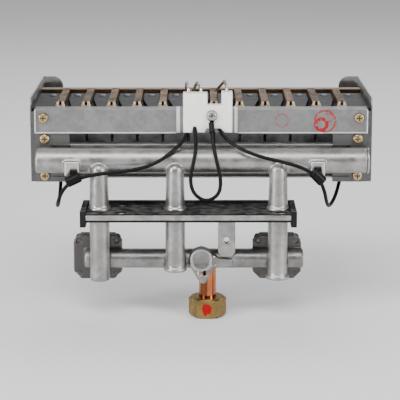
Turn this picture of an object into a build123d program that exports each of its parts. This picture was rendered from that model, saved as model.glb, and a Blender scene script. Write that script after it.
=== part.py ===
from build123d import *
import math
import os

os.makedirs("parts", exist_ok=True)

# A gas burner assembly: a rack of twelve pressed blades, the injector manifold in front of it,
# three riser pipes through a sealing plate, and the lower header with the gas inlet.
# +X is to the right, +Y to the back, +Z up. The origin is the centre of the four fixing holes
# on the top face of the sealing plate, and X = 0 is the middle of the blade rack.

# --- driving dimensions, in millimetres ---
clearance = 0.15  # round a fixed part in its hole
running_gap = 0.08  # round the gas tube in the loose nut
sheet = 1.0  # galvanised sheet

# Blade rack
blade_count = 12
blade_pitch = 21.2
blade_length = 80.0
blade_front = 38.5
ridge_top = 83.0
ridge_width = 6.0
body_width = 13.0
body_bottom = 61.5
blade_wall = 0.7
rack_width = 280.4
rack_front = 21.0
rack_depth = 130.0
rack_bottom = 19.5
side_top = 89.0
side_flange = 17.6
ear_radius = 9.0
deck_top = 78.6

# Front and rear bars
bar_width = 273.0
bar_height = 19.4
bar_flange = 16.5
bar_lip = 3.0
recess_left = -20.8
recess_right = 30.4
recess_depth = 1.6
rear_bar_height = 22.0
rear_flange = 8.5

# Manifold
tube_radius = 10.4
tube_bore = 8.0
tube_length = 270.0
tube_y = 8.0
tube_z = 39.6
rail_width = 244.0
rail_height = 28.0
rail_web_y = 27.0
injector_radius = 3.0
boss_radius = 5.6
lug_width = 12.0
lug_x = (-105.0, 94.5)

# Risers, plate and header
riser_x = (-83.2, -21.3, 62.6)
riser_foot = (-59.0, -51.0, -57.6)
riser_names = ("riser_left", "riser_middle", "riser_right")
riser_top_radius = 7.0
riser_radius = 8.0
riser_wall = 2.4
riser_top = 39.3
collar_height = 2.4
plate_left = -94.8
plate_right = 74.0
plate_depth = 44.0
plate_thickness = 4.2
hole_spacing_x = 130.0
hole_spacing_y = 30.0
fixing_radius = 2.25
gasket_rim = 3.0
gasket_height = 12.8
header_radius = 8.0
header_bore = 5.5
header_left = -96.0
header_right = 84.0
header_y = 9.0
header_z = -42.7
inlet_boss_radius = 9.3
flange_width = 40.0
flange_height = 37.0
flange_thickness = 6.0
cover_thickness = 5.0

# Gas tube and union nut
gas_tube_radius = 7.0
gas_tube_wall = 1.0
gas_tube_x = 5.2
gas_tube_foot = -78.6
union_collar_radius = 9.2
union_collar_height = 3.0
washer_thickness = 2.0
nut_across_flats = 27.0
nut_height = 16.2
nut_web = 3.6
nut_thread_radius = 9.32
nut_relief_radius = 9.7

# Electrode block and leads
block_left = -14.7
block_right = 25.3
block_bottom = 62.0
block_top = 94.2
block_front = 10.0
prong_top = 95.1
block_notch = (5.0, 16.5, 84.3)
rod_radius = 1.2
lead_diameter = 3.0
coil_radius = 16.5
coil_bundle = 3.4
terminal_radius = 3.1

# --- sizes worked out from the driving ones ---
collar_radius = riser_radius + 1.4
half_rack = rack_width / 2
inner_rack = half_rack - sheet
rack_back = rack_front + rack_depth
bar_front = rack_front - sheet
bar_top = deck_top + sheet
bar_bottom = bar_top - bar_height
deck_bottom = deck_top - sheet
blade_back = blade_front + blade_length
venturi_plate_y = blade_front + 2.5
rear_bar_front = blade_back + 2.0
rear_web_y = rear_bar_front + rear_flange - sheet
rear_bar_top = ridge_top - 1.0
rail_bottom = tube_z - 16.6
rail_top = rail_bottom + rail_height
plate_bottom = -plate_thickness
blade_x = [(i - (blade_count - 1) / 2) * blade_pitch for i in range(blade_count)]


def write(part, name):
    """Label one piece and write it under its node name."""
    part.label = name
    export_step(part, f"parts/{name}.step")


# --- burner blades: pressed shells with a venturi mouth, a rear turn and a slotted ridge ---
seam_front = blade_front + 17.0
mouth_radius = 7.0
throat_radius = 4.6
flare_radius = 8.3


def blade_body(grow):
    """The blade's closed outline, made smaller all round by a negative grow."""
    ridge = ridge_width / 2 + grow
    half = body_width / 2 + grow
    back = blade_back + grow
    front = blade_front - grow
    with BuildPart(mode=Mode.PRIVATE) as body:
        with BuildSketch(Plane.XZ.offset(-back)):
            with BuildLine():
                Polyline(
                    (-ridge, ridge_top + grow),
                    (-ridge, deck_bottom - 1.2),
                    (-half, deck_bottom - 5.5),
                    (-half, body_bottom + 3.0),
                    (-half + 3.0, body_bottom - grow),
                    (half - 3.0, body_bottom - grow),
                    (half, body_bottom + 3.0),
                    (half, deck_bottom - 5.5),
                    (ridge, deck_bottom - 1.2),
                    (ridge, ridge_top + grow),
                    close=True,
                )
            make_face()
        extrude(amount=back - front)
        with BuildSketch(Plane.YZ):
            with BuildLine():
                Polyline(
                    (venturi_plate_y - grow * 4, tube_z),
                    (venturi_plate_y - grow * 4, tube_z + mouth_radius + grow),
                    (venturi_plate_y + 14.0, tube_z + throat_radius + grow),
                    (back - 14.0, tube_z + mouth_radius - 0.6 + grow),
                    (back - 14.0, tube_z),
                    close=True,
                )
            make_face()
        revolve(axis=Axis((0, 0, tube_z), (0, 1, 0)))
        with BuildSketch(Plane.YZ.offset(-half)):
            with BuildLine():
                Polyline(
                    (back - 26.0 - 2 * grow, tube_z - 2.0),
                    (back - 20.0 - 2 * grow, tube_z - mouth_radius - grow),
                    (back - 9.0, tube_z - mouth_radius - grow),
                    (back, tube_z + 3.0),
                    (back, body_bottom + 4.0),
                    (back - 26.0 - 2 * grow, body_bottom + 4.0),
                    close=True,
                )
            make_face()
        extrude(amount=2 * half)
    return body.part


with BuildPart() as blade:
    add(blade_body(0.0))
    with BuildSketch(Plane.XZ.offset(-venturi_plate_y)):
        with Locations((0, tube_z)):
            Circle(flare_radius)
    extrude(amount=1.2)
    # The seam web between the two pressed halves, and the tab that the rear bar holds.
    with BuildSketch(Plane.YZ.offset(-blade_wall)):
        with BuildLine():
            Polyline(
                (seam_front, tube_z + 3.0),
                (seam_front, body_bottom + 2.0),
                (blade_back - 10.0, body_bottom + 2.0),
                (blade_back - 10.0, tube_z + 3.0),
                close=True,
            )
        make_face()
        with Locations((blade_back + 6.0, body_bottom + 7.0)):
            Rectangle(14.0, 6.0)
    extrude(amount=2 * blade_wall)
    # The folded ears at the front of the ridge.
    with BuildSketch(Plane.XZ.offset(-blade_front - 1.4)):
        with Locations((0, deck_top + 1.7)):
            Trapezoid(ridge_width + 2.6, 3.4, 72)
    extrude(amount=1.6)
    add(blade_body(-blade_wall), mode=Mode.SUBTRACT)
    with BuildSketch(Plane.XZ.offset(-venturi_plate_y - 3.0)):
        with Locations((0, tube_z)):
            Circle(mouth_radius - blade_wall)
    extrude(amount=6.0, mode=Mode.SUBTRACT)
    # The ridge is open at its front end, between the two ears.
    with BuildSketch(Plane.XZ.offset(-blade_front - 4.6)):
        with Locations((0, (deck_top + ridge_top) / 2 + 1.2)):
            Rectangle(2.2, ridge_top - deck_top)
    extrude(amount=7.0, mode=Mode.SUBTRACT)
    # Flame ports across the ridge, in groups.
    port_groups = 5
    ports_in_group = 4
    group_pitch = (blade_length - 8.0) / port_groups
    with BuildSketch(Plane.XY.offset(ridge_top)):
        for group in range(port_groups):
            for port in range(ports_in_group):
                port_y = blade_front + 7.0 + group * group_pitch + port * 2.8
                with Locations((0, port_y)):
                    Rectangle(ridge_width - 2.2, 1.1)
    extrude(amount=-blade_wall * 2, mode=Mode.SUBTRACT)

for index, x in enumerate(blade_x):
    write(blade.part.moved(Location((x, 0, 0))), f"blade_{index + 1:02d}")

# --- front bar: web with a shallow recess, top flange and bottom lip ---
slope = 3.0
with BuildPart() as front_bar:
    with BuildSketch(Plane.XY.offset(bar_bottom)):
        with BuildLine():
            half_bar = bar_width / 2
            inner_front = bar_front + recess_depth
            Polyline(
                (-half_bar, bar_front),
                (recess_left, bar_front),
                (recess_left + slope, inner_front),
                (recess_right - slope, inner_front),
                (recess_right, bar_front),
                (half_bar, bar_front),
                (half_bar, bar_front + sheet),
                (recess_right + 0.4, bar_front + sheet),
                (recess_right - slope + 0.4, inner_front + sheet),
                (recess_left + slope - 0.4, inner_front + sheet),
                (recess_left - 0.4, bar_front + sheet),
                (-half_bar, bar_front + sheet),
                close=True,
            )
        make_face()
    extrude(amount=bar_height)
    with BuildSketch(Plane.XY.offset(deck_top)):
        with Locations((0, bar_front + bar_flange / 2)):
            Rectangle(bar_width, bar_flange)
        with Locations(((recess_left + recess_right) / 2, bar_front)):
            Rectangle(recess_right - recess_left, 2 * recess_depth, mode=Mode.SUBTRACT)
        with Locations((recess_left + 1.4, bar_front + 1.0), (recess_right - 1.4, bar_front + 1.0)):
            Rectangle(3.4, 3.0, mode=Mode.SUBTRACT)
    extrude(amount=sheet)
    with BuildSketch(Plane.XY.offset(bar_bottom)):
        for left, right in ((-half_bar, recess_left), (recess_right, half_bar)):
            with Locations(((left + right) / 2, bar_front - bar_lip / 2 + sheet)):
                Rectangle(right - left, bar_lip)
    extrude(amount=sheet)
    with BuildSketch(Plane.XY.offset(bar_bottom)):
        for side in (-1, 1):
            with Locations((side * (half_bar - sheet / 2), bar_front - bar_lip / 2 + sheet)):
                Rectangle(sheet, bar_lip)
    extrude(amount=bar_height)
    bar_screw_x = bar_width / 2 - 7.1
    bar_screw_z = bar_bottom + 12.4
    with BuildSketch(Plane.XZ.offset(-bar_front + 1.0)):
        with Locations((-bar_screw_x, bar_screw_z), (bar_screw_x, bar_screw_z)):
            Circle(2.0 + clearance)
        with Locations(((block_left + block_right) / 2 + 3.4, block_bottom + 14.3)):
            Circle(2.0 + clearance)
    extrude(amount=-5.0, mode=Mode.SUBTRACT)
write(front_bar.part, "front_bar")

# --- rear bar: angle with a slot for each blade's tab ---
with BuildPart() as rear_bar:
    with BuildSketch(Plane.XY.offset(rear_bar_top - sheet)):
        with Locations((0, rear_bar_front + rear_flange / 2)):
            Rectangle(2 * inner_rack, rear_flange)
    extrude(amount=sheet)
    with BuildSketch(Plane.XZ.offset(-rear_web_y)):
        with Locations((0, rear_bar_top - rear_bar_height / 2)):
            Rectangle(2 * inner_rack, rear_bar_height)
        with Locations([(x, body_bottom + 7.0) for x in blade_x]):
            Rectangle(2 * (blade_wall + clearance), 6.0 + 2 * clearance, mode=Mode.SUBTRACT)
    extrude(amount=-sheet)
write(rear_bar.part, "rear_bar")

# --- side plates: wall, front and bottom flanges, and a rear flange with a rounded ear ---
side_hole_y = (60.0, 130.0)
side_hole_z = 45.0
rail_screw_x = 128.5
rail_screw_z = (tube_z - 14.8, tube_z + 15.8)
flange_top = bar_bottom + 17.6


def side_plate(side):
    """One side plate; side is -1 for the left and +1 for the right."""
    with BuildPart(mode=Mode.PRIVATE) as plate:
        with BuildSketch(Plane.YZ.offset(half_rack - sheet)):
            with Locations((rack_front + rack_depth / 2, (side_top + rack_bottom) / 2)):
                Rectangle(rack_depth, side_top - rack_bottom)
            with Locations([(y, side_hole_z) for y in side_hole_y]):
                Circle(fixing_radius, mode=Mode.SUBTRACT)
        extrude(amount=sheet)
        with BuildSketch(Plane.XZ.offset(-rack_front - sheet)):
            with Locations((half_rack - side_flange / 2, (flange_top + rack_bottom) / 2)):
                Rectangle(side_flange, flange_top - rack_bottom)
            with Locations((bar_screw_x, bar_screw_z), *[(rail_screw_x, z) for z in rail_screw_z]):
                Circle(2.0 + clearance, mode=Mode.SUBTRACT)
        extrude(amount=sheet)
        with BuildSketch(Plane.XZ.offset(-rack_back)) as ear:
            with Locations((half_rack - side_flange / 2, (side_top + rack_bottom) / 2)):
                Rectangle(side_flange, side_top - rack_bottom)
            inner_corner = ear.vertices().group_by(Axis.X)[0].sort_by(Axis.Y)[-1]
            fillet(inner_corner, ear_radius)
        extrude(amount=sheet)
        with BuildSketch(Plane.XY.offset(rack_bottom)):
            with Locations((half_rack - side_flange / 2, rack_front + rack_depth / 2)):
                Rectangle(side_flange, rack_depth)
        extrude(amount=sheet)
    return plate.part if side > 0 else plate.part.mirror(Plane.YZ)


write(side_plate(-1), "side_plate_left")
write(side_plate(1), "side_plate_right")

# --- air deck: sheet with a slot for each ridge, wider on the side towards the middle ---
dimple_radius = 3.6
dimple_height = 1.4
dimple_y = blade_front + 63.5
slot_half = ridge_width / 2 + 0.8
with BuildPart() as air_deck:
    with BuildSketch(Plane.XY.offset(deck_bottom)):
        with Locations((0, (blade_front - 4.5 + rear_bar_front - 0.8) / 2)):
            Rectangle(2 * inner_rack, rear_bar_front - 0.8 - blade_front + 4.5)
        for x in blade_x:
            toward_middle = -1 if x > 0 else 1
            with BuildLine():
                Polyline(
                    (x - toward_middle * slot_half, blade_front - 1.0),
                    (x + toward_middle * (slot_half + 4.6), blade_front - 1.0),
                    (x + toward_middle * (slot_half + 4.6), blade_front + 8.0),
                    (x + toward_middle * slot_half, blade_front + 46.0),
                    (x + toward_middle * slot_half, blade_back + 0.8),
                    (x - toward_middle * slot_half, blade_back + 0.8),
                    close=True,
                )
            make_face(mode=Mode.SUBTRACT)
    extrude(amount=sheet)
    with Locations([((i - blade_count / 2) * blade_pitch, dimple_y, deck_top) for i in range(blade_count + 1)]):
        Cone(dimple_radius, dimple_radius * 0.55, dimple_height, align=(Align.CENTER, Align.CENTER, Align.MIN))
write(air_deck.part, "air_deck")

# --- venturi plate: holds the blade mouths, notched for the blade seams ---
venturi_plate_top = bar_bottom - 0.6
venturi_plate_bottom = rack_bottom + sheet
with BuildPart() as venturi_plate:
    with BuildSketch(Plane.XZ.offset(-venturi_plate_y - sheet)):
        with Locations((0, (venturi_plate_bottom + venturi_plate_top) / 2)):
            Rectangle(2 * inner_rack, venturi_plate_top - venturi_plate_bottom)
        with Locations([(x, tube_z) for x in blade_x]):
            Circle(mouth_radius + 0.1, mode=Mode.SUBTRACT)
        with Locations([(x, venturi_plate_top) for x in blade_x]):
            Rectangle(2.6, 2 * (venturi_plate_top - tube_z - 9.8), mode=Mode.SUBTRACT)
    extrude(amount=sheet)
write(venturi_plate.part, "venturi_plate")

# --- injector rail: shallow channel behind the tube, with a screw tab at each corner ---
rail_front = bar_front - 1.0
tab_inner = 108.0
tab_outer = 136.0
with BuildPart() as injector_rail:
    with BuildSketch(Plane.XZ.offset(-rail_web_y - sheet)):
        with Locations((0, (rail_bottom + rail_top) / 2)):
            Rectangle(rail_width, rail_height)
        with Locations([(x, tube_z) for x in blade_x]):
            Circle(injector_radius + clearance, mode=Mode.SUBTRACT)
    extrude(amount=sheet)
    for height in (rail_bottom, rail_top - sheet):
        with BuildSketch(Plane.XY.offset(height)):
            with Locations((0, (rail_front + rail_web_y) / 2)):
                Rectangle(rail_width, rail_web_y - rail_front)
        extrude(amount=sheet)
    with BuildSketch(Plane.XZ.offset(-bar_front - sheet)):
        for side in (-1, 1):
            upper = (rail_top - sheet, bar_bottom - 0.4)
            lower = (rack_bottom, rail_bottom + 7.6)
            for low, high in (upper, lower):
                with Locations((side * (tab_inner + tab_outer) / 2, (low + high) / 2)):
                    Rectangle(tab_outer - tab_inner, high - low)
            with Locations([(side * rail_screw_x, z) for z in rail_screw_z]):
                Circle(2.0 + clearance, mode=Mode.SUBTRACT)
    extrude(amount=sheet)
write(injector_rail.part, "injector_rail")

# --- manifold tube: bored casting with injector bosses at the back and clip lugs in front ---
lug_front = -5.0
lug_bottom = tube_z - 10.8


def riser_outline(index, grow):
    """A riser's outer shape, made larger all round by grow, for itself and for what it passes through."""
    x = riser_x[index]
    foot = riser_foot[index]
    with BuildPart(mode=Mode.PRIVATE) as outline:
        with BuildSketch(Plane.XZ):
            with BuildLine():
                Polyline(
                    (x, foot),
                    (x + riser_radius + grow - 1.0, foot),
                    (x + riser_radius + grow, foot + 1.0),
                    (x + riser_radius + grow, 0),
                    (x + riser_top_radius + grow, riser_top - riser_top_radius),
                )
                RadiusArc(
                    (x + riser_top_radius + grow, riser_top - riser_top_radius),
                    (x, riser_top + grow),
                    -riser_top_radius - grow,
                )
                Line((x, riser_top + grow), (x, foot))
            make_face()
        revolve(axis=Axis((x, 0, 0), (0, 0, 1)))
    return outline.part


with BuildPart() as manifold_tube:
    with BuildSketch(Plane.YZ.offset(-tube_length / 2)):
        with Locations((tube_y, tube_z)):
            Circle(tube_radius)
    extrude(amount=tube_length)
    left_rim = manifold_tube.edges().filter_by(GeomType.CIRCLE).sort_by(Axis.X)[0]
    fillet(left_rim, 1.6)
    with BuildSketch(Plane.XZ.offset(-rail_web_y)):
        with Locations([(x, tube_z) for x in blade_x]):
            Circle(boss_radius)
    extrude(amount=rail_web_y - tube_y)
    with BuildSketch(Plane.XZ.offset(-lug_front - 6.0)):
        for x in lug_x:
            with BuildLine():
                Polyline(
                    (x - lug_width / 2, tube_z + 1.0),
                    (x - lug_width / 2, lug_bottom),
                    (x - lug_width / 4, lug_bottom),
                    (x, lug_bottom + 4.0),
                    (x + lug_width / 4, lug_bottom),
                    (x + lug_width / 2, lug_bottom),
                    (x + lug_width / 2, tube_z + 1.0),
                    close=True,
                )
            make_face()
    extrude(amount=6.0)
    with BuildSketch(Plane.YZ.offset(-tube_length / 2 + 4.0)):
        with Locations((tube_y, tube_z)):
            Circle(tube_bore)
    extrude(amount=tube_length, mode=Mode.SUBTRACT)
    with BuildSketch(Plane.XZ.offset(-rail_web_y)):
        with Locations([(x, tube_z) for x in blade_x]):
            Circle(injector_radius + 0.02)
    extrude(amount=rail_web_y - tube_y, mode=Mode.SUBTRACT)
    for index in range(len(riser_x)):
        add(riser_outline(index, clearance), mode=Mode.SUBTRACT)
write(manifold_tube.part, "manifold_tube")

cap_length = 5.2
with BuildPart() as end_cap:
    with BuildSketch(Plane.YZ.offset(tube_length / 2)):
        with Locations((tube_y, tube_z)):
            Circle(tube_radius + 0.5)
    extrude(amount=cap_length - 3.4)
    fillet(end_cap.edges().filter_by(GeomType.CIRCLE).sort_by(Axis.X)[-1], 0.8)
    with BuildSketch(Plane.YZ.offset(tube_length / 2 - 9.0)):
        with Locations((tube_y, tube_z)):
            Circle(tube_bore - 0.1)
    extrude(amount=9.0)
write(end_cap.part, "manifold_end_cap")

# --- injectors: shank through the rail, hexagon head and pointed nozzle ---
injector_hex = 9.0
with BuildPart() as injector:
    with BuildSketch(Plane.XZ.offset(-rail_web_y + 9.0)):
        with Locations((0, tube_z)):
            Circle(injector_radius)
    extrude(amount=-9.0 - sheet)
    with BuildSketch(Plane.XZ.offset(-rail_web_y - sheet)):
        with Locations((0, tube_z)):
            RegularPolygon(injector_hex / 2, 6, major_radius=False)
    extrude(amount=-4.0)
    with BuildSketch(Plane.XZ.offset(-rail_web_y - sheet - 4.0)):
        with Locations((0, tube_z)):
            Circle(3.2)
    extrude(amount=-3.0, taper=25)
    with BuildSketch(Plane.XZ.offset(-rail_web_y + 9.0)):
        with Locations((0, tube_z)):
            Circle(0.6)
    extrude(amount=-20.0, mode=Mode.SUBTRACT)
injectors = Compound([injector.part.moved(Location((x, 0, 0))) for x in blade_x])
write(injectors, "injectors")

# --- risers: closed cast pipes with a port to the tube and one to the header ---
port_radius = 3.4
for index, name in enumerate(riser_names):
    x = riser_x[index]
    with BuildPart() as riser:
        add(riser_outline(index, 0.0))
        with BuildSketch(Plane.XY.offset(0)):
            with Locations((x, 0)):
                Circle(collar_radius)
        extrude(amount=collar_height)
        if index > 0:
            with BuildSketch(Plane.XY.offset(riser_foot[index])):
                with Locations((x, 0)):
                    Circle(collar_radius)
            extrude(amount=3.0)
            fillet(riser.edges().filter_by(GeomType.CIRCLE).sort_by(Axis.Z)[0], 1.0)
        with BuildSketch(Plane.XY.offset(riser_foot[index] + 4.0)):
            with Locations((x, 0)):
                Circle(riser_top_radius - riser_wall)
        extrude(amount=riser_top - riser_foot[index] - 10.0, mode=Mode.SUBTRACT)
        with BuildSketch(Plane.XZ):
            with Locations((x, header_z), (x, tube_z - 8.0)):
                Circle(port_radius)
        extrude(amount=-riser_radius - 2.0, mode=Mode.SUBTRACT)
    write(riser.part, name)

# --- sealing plate, its edge gasket and the support lug ---
plate_middle = (plate_left + plate_right) / 2
plate_width = plate_right - plate_left
with BuildPart() as sealing_plate:
    with BuildSketch():
        with Locations((plate_middle, 0)):
            RectangleRounded(plate_width, plate_depth, 3.0)
        with Locations([(x, 0) for x in riser_x]):
            Circle(riser_radius + clearance, mode=Mode.SUBTRACT)
        with GridLocations(hole_spacing_x, hole_spacing_y, 2, 2):
            Circle(fixing_radius, mode=Mode.SUBTRACT)
    extrude(amount=-plate_thickness)
write(sealing_plate.part, "sealing_plate")

lug_hole_z = -24.5
support_x = 20.7
support_width = 14.0
support_foot = -39.0
support_back = 1.6
support_thickness = 5.0
gasket_lap = 1.6
gasket_top = 3.0
pad_thickness = 1.0
lower_pad_thickness = 1.6
with BuildPart() as sealing_gasket:
    with BuildSketch(Plane.XY.offset(gasket_top - gasket_height)):
        with Locations((plate_middle, gasket_rim / 2)):
            Rectangle(plate_width + 2 * gasket_rim, plate_depth + gasket_rim)
        with Locations((plate_middle, -gasket_lap / 2 - 1.0)):
            Rectangle(plate_width - 2 * gasket_lap, plate_depth - gasket_lap + 2.0, mode=Mode.SUBTRACT)
    extrude(amount=gasket_height)
    with BuildSketch():
        with Locations((plate_middle, 0)):
            Rectangle(plate_width - 1.0, plate_depth - 1.0)
        with Locations([(x, 0) for x in riser_x]):
            Circle(collar_radius + 2 * clearance, mode=Mode.SUBTRACT)
        with GridLocations(hole_spacing_x, hole_spacing_y, 2, 2):
            Circle(2 * fixing_radius, mode=Mode.SUBTRACT)
    extrude(amount=pad_thickness)
    with BuildSketch(Plane.XY.offset(plate_bottom)):
        with Locations((plate_middle, 0)):
            Rectangle(plate_width - 1.0, plate_depth - 1.0)
        with GridLocations(hole_spacing_x, hole_spacing_y, 2, 2):
            Circle(2 * fixing_radius, mode=Mode.SUBTRACT)
        with Locations((support_x, support_back - support_thickness / 2)):
            Rectangle(support_width + 4 * clearance, support_thickness + 4 * clearance, mode=Mode.SUBTRACT)
    extrude(amount=-lower_pad_thickness)
    with BuildSketch():
        with Locations((plate_middle, 0)):
            RectangleRounded(plate_width, plate_depth, 3.0)
    extrude(amount=-plate_thickness, mode=Mode.SUBTRACT)
    with BuildSketch():
        with Locations([(x, 0) for x in riser_x]):
            Circle(collar_radius + 2 * clearance)
    extrude(amount=gasket_top, mode=Mode.SUBTRACT)
    with BuildSketch():
        with Locations([(x, 0) for x in riser_x]):
            Circle(riser_radius + 2 * clearance)
    extrude(amount=-gasket_height, mode=Mode.SUBTRACT)
write(sealing_gasket.part, "sealing_gasket")

with BuildPart() as support_lug:
    with BuildSketch(Plane.XZ.offset(-support_back)):
        with BuildLine():
            half = support_width / 2
            Polyline(
                (support_x - half, plate_bottom),
                (support_x - half, support_foot + 4.0),
                (support_x - half + 3.0, support_foot),
                (support_x + half - 3.0, support_foot),
                (support_x + half, support_foot + 4.0),
                (support_x + half, plate_bottom),
                close=True,
            )
        make_face()
        with Locations((support_x, lug_hole_z)):
            Circle(2.5, mode=Mode.SUBTRACT)
    extrude(amount=support_thickness)
write(support_lug.part, "support_lug")

# --- lower header: bored casting with two valve flanges, the inlet boss and the ribbed web ---
flange_front = header_y + 3.0
flange_back = flange_front + flange_thickness
flange_x = (-85.6, riser_x[2])
flange_z = header_z + 0.4
screw_offset_x = flange_width / 2 - 4.6
screw_offset_z = flange_height / 2 - 4.6
flange_screws = [
    (x + side_x * screw_offset_x, flange_z + side_z * screw_offset_z)
    for x in flange_x
    for side_x in (-1, 1)
    for side_z in (-1, 1)
]
boss_front = header_y - 12.5
with BuildPart() as lower_header:
    with BuildSketch(Plane.YZ.offset(header_left)):
        with Locations((header_y, header_z)):
            Circle(header_radius)
    extrude(amount=header_right - header_left)
    header_rims = lower_header.edges().filter_by(GeomType.CIRCLE)
    fillet(header_rims, 1.2)
    for x in flange_x:
        with BuildSketch(Plane.XZ.offset(-flange_back)) as octagon:
            with Locations((x, flange_z)):
                Rectangle(flange_width, flange_height)
            chamfer(octagon.vertices(), 6.0)
        extrude(amount=flange_thickness)
    with BuildSketch(Plane.XZ.offset(-header_y)):
        with Locations((0, header_z + 1.2)):
            Circle(inlet_boss_radius)
    extrude(amount=header_y - boss_front)
    with BuildSketch(Plane.XZ.offset(-boss_front)):
        with Locations((0, header_z + 1.2)):
            Circle(inlet_boss_radius - 1.5)
    extrude(amount=-1.0, mode=Mode.SUBTRACT)
    with BuildSketch(Plane.XZ.offset(-header_y)):
        with BuildLine():
            Polyline(
                (-10.5, header_z - 1.0),
                (-2.0, header_z + 9.6),
                (4.0, header_z + 9.2),
                (14.0, header_z + 2.0),
                (26.0, header_z + 1.0),
                (26.0, header_z - 5.0),
                (6.0, header_z - 6.5),
                (-5.0, header_z - 6.5),
                close=True,
            )
        make_face()
    extrude(amount=header_y - boss_front - 2.5)
    rib_back = header_y - gas_tube_radius - 1.4
    with BuildSketch(Plane.XZ.offset(-rib_back)):
        with BuildLine():
            Polyline(
                (-10.2, header_z - 3.0),
                (11.8, header_z - 3.0),
                (3.4, header_z - 19.0),
                (-0.8, header_z - 19.0),
                close=True,
            )
        make_face()
        with Locations((-2.2, header_z - 10.2), (2.6, header_z - 10.2)):
            SlotOverall(4.8, 2.9, rotation=90, mode=Mode.SUBTRACT)
    extrude(amount=3.4)
    with BuildSketch(Plane.YZ.offset(header_left + 5.0)):
        with Locations((header_y, header_z)):
            Circle(header_bore)
    extrude(amount=header_right - header_left - 10.0, mode=Mode.SUBTRACT)
    with BuildSketch(Plane.XZ.offset(-flange_back)):
        with Locations([(x, header_z) for x in flange_x]):
            Circle(4.0)
        with Locations(flange_screws):
            Circle(1.9 + clearance)
    extrude(amount=flange_thickness + 3.0, mode=Mode.SUBTRACT)
    with BuildSketch(Plane.XY.offset(header_z - header_radius - 12.0)):
        with Locations((gas_tube_x, header_y)):
            Circle(gas_tube_radius + clearance)
    extrude(amount=12.0 + header_radius - 3.0, mode=Mode.SUBTRACT)
    for index in range(len(riser_x)):
        add(riser_outline(index, clearance), mode=Mode.SUBTRACT)
        with BuildSketch(Plane.XY.offset(riser_foot[index] - 1.0)):
            with Locations((riser_x[index], 0)):
                Circle(collar_radius + clearance)
        extrude(amount=4.0 + 2 * clearance, mode=Mode.SUBTRACT)
write(lower_header.part, "lower_header")

for index, name in ((0, "flange_cover_left"), (1, "flange_cover_right")):
    with BuildPart() as cover:
        with BuildSketch(Plane.XZ.offset(-flange_back - cover_thickness)) as octagon:
            with Locations((flange_x[index], flange_z)):
                Rectangle(flange_width, flange_height)
            chamfer(octagon.vertices(), 6.0)
            with Locations(flange_screws[4 * index : 4 * index + 4]):
                Circle(1.9 + clearance, mode=Mode.SUBTRACT)
        extrude(amount=cover_thickness)
    write(cover.part, name)


def screw(head_radius, head_height, shank_radius, shank_length):
    """A pan head screw along -Y: the head's seat is at the origin and the shank runs to +Y."""
    with BuildPart(mode=Mode.PRIVATE) as fastener:
        with BuildSketch(Plane.XZ):
            Circle(head_radius)
        extrude(amount=head_height)
        fillet(fastener.edges().filter_by(GeomType.CIRCLE).sort_by(Axis.Y)[0], head_height * 0.45)
        with BuildSketch(Plane.XZ):
            Circle(shank_radius)
        extrude(amount=-shank_length)
        with BuildSketch(Plane.XZ.offset(head_height)):
            Rectangle(head_radius * 1.1, head_radius * 0.28)
            Rectangle(head_radius * 0.28, head_radius * 1.1)
        extrude(amount=-head_height * 0.5, mode=Mode.SUBTRACT)
    return fastener.part


pan_screw = screw(4.0, 2.6, 2.0, 9.0)
bar_screws = [pan_screw.moved(Location((side * bar_screw_x, bar_front, bar_screw_z))) for side in (-1, 1)]
write(Compound(bar_screws), "bar_screws")
rail_screws = [
    pan_screw.moved(Location((side * rail_screw_x, bar_front, z))) for side in (-1, 1) for z in rail_screw_z
]
write(Compound(rail_screws), "rail_screws")
cover_screw = screw(3.4, 2.2, 1.9, flange_thickness + cover_thickness - 0.5).mirror(Plane.XZ)
cover_back = flange_back + cover_thickness
cover_screws = [cover_screw.moved(Location((x, cover_back, z))) for x, z in flange_screws]
write(Compound(cover_screws), "cover_screws")

# --- gas tube, union collar, washer and the loose nut ---
union_top = gas_tube_foot - 0.3
nut_top = union_top + nut_web + 0.3
collar_foot = gas_tube_foot - union_collar_height
gas_tube_top = header_z - 3.4
with BuildPart() as gas_tube:
    with BuildSketch(Plane.XY.offset(collar_foot)):
        with Locations((gas_tube_x, header_y)):
            Circle(gas_tube_radius)
    extrude(amount=gas_tube_top - collar_foot)
    with BuildSketch(Plane.XY.offset(collar_foot)):
        with Locations((gas_tube_x, header_y)):
            Circle(union_collar_radius)
    extrude(amount=union_collar_height)
    with BuildSketch(Plane.XY.offset(collar_foot)):
        with Locations((gas_tube_x, header_y)):
            Circle(gas_tube_radius - gas_tube_wall)
    extrude(amount=gas_tube_top - collar_foot, mode=Mode.SUBTRACT)
write(gas_tube.part, "gas_tube")

with BuildPart() as union_washer:
    with BuildSketch(Plane.XY.offset(collar_foot - washer_thickness)):
        with Locations((gas_tube_x, header_y)):
            Circle(union_collar_radius - 0.2)
            Circle(gas_tube_radius - gas_tube_wall, mode=Mode.SUBTRACT)
    extrude(amount=washer_thickness)
write(union_washer.part, "union_washer")

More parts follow.
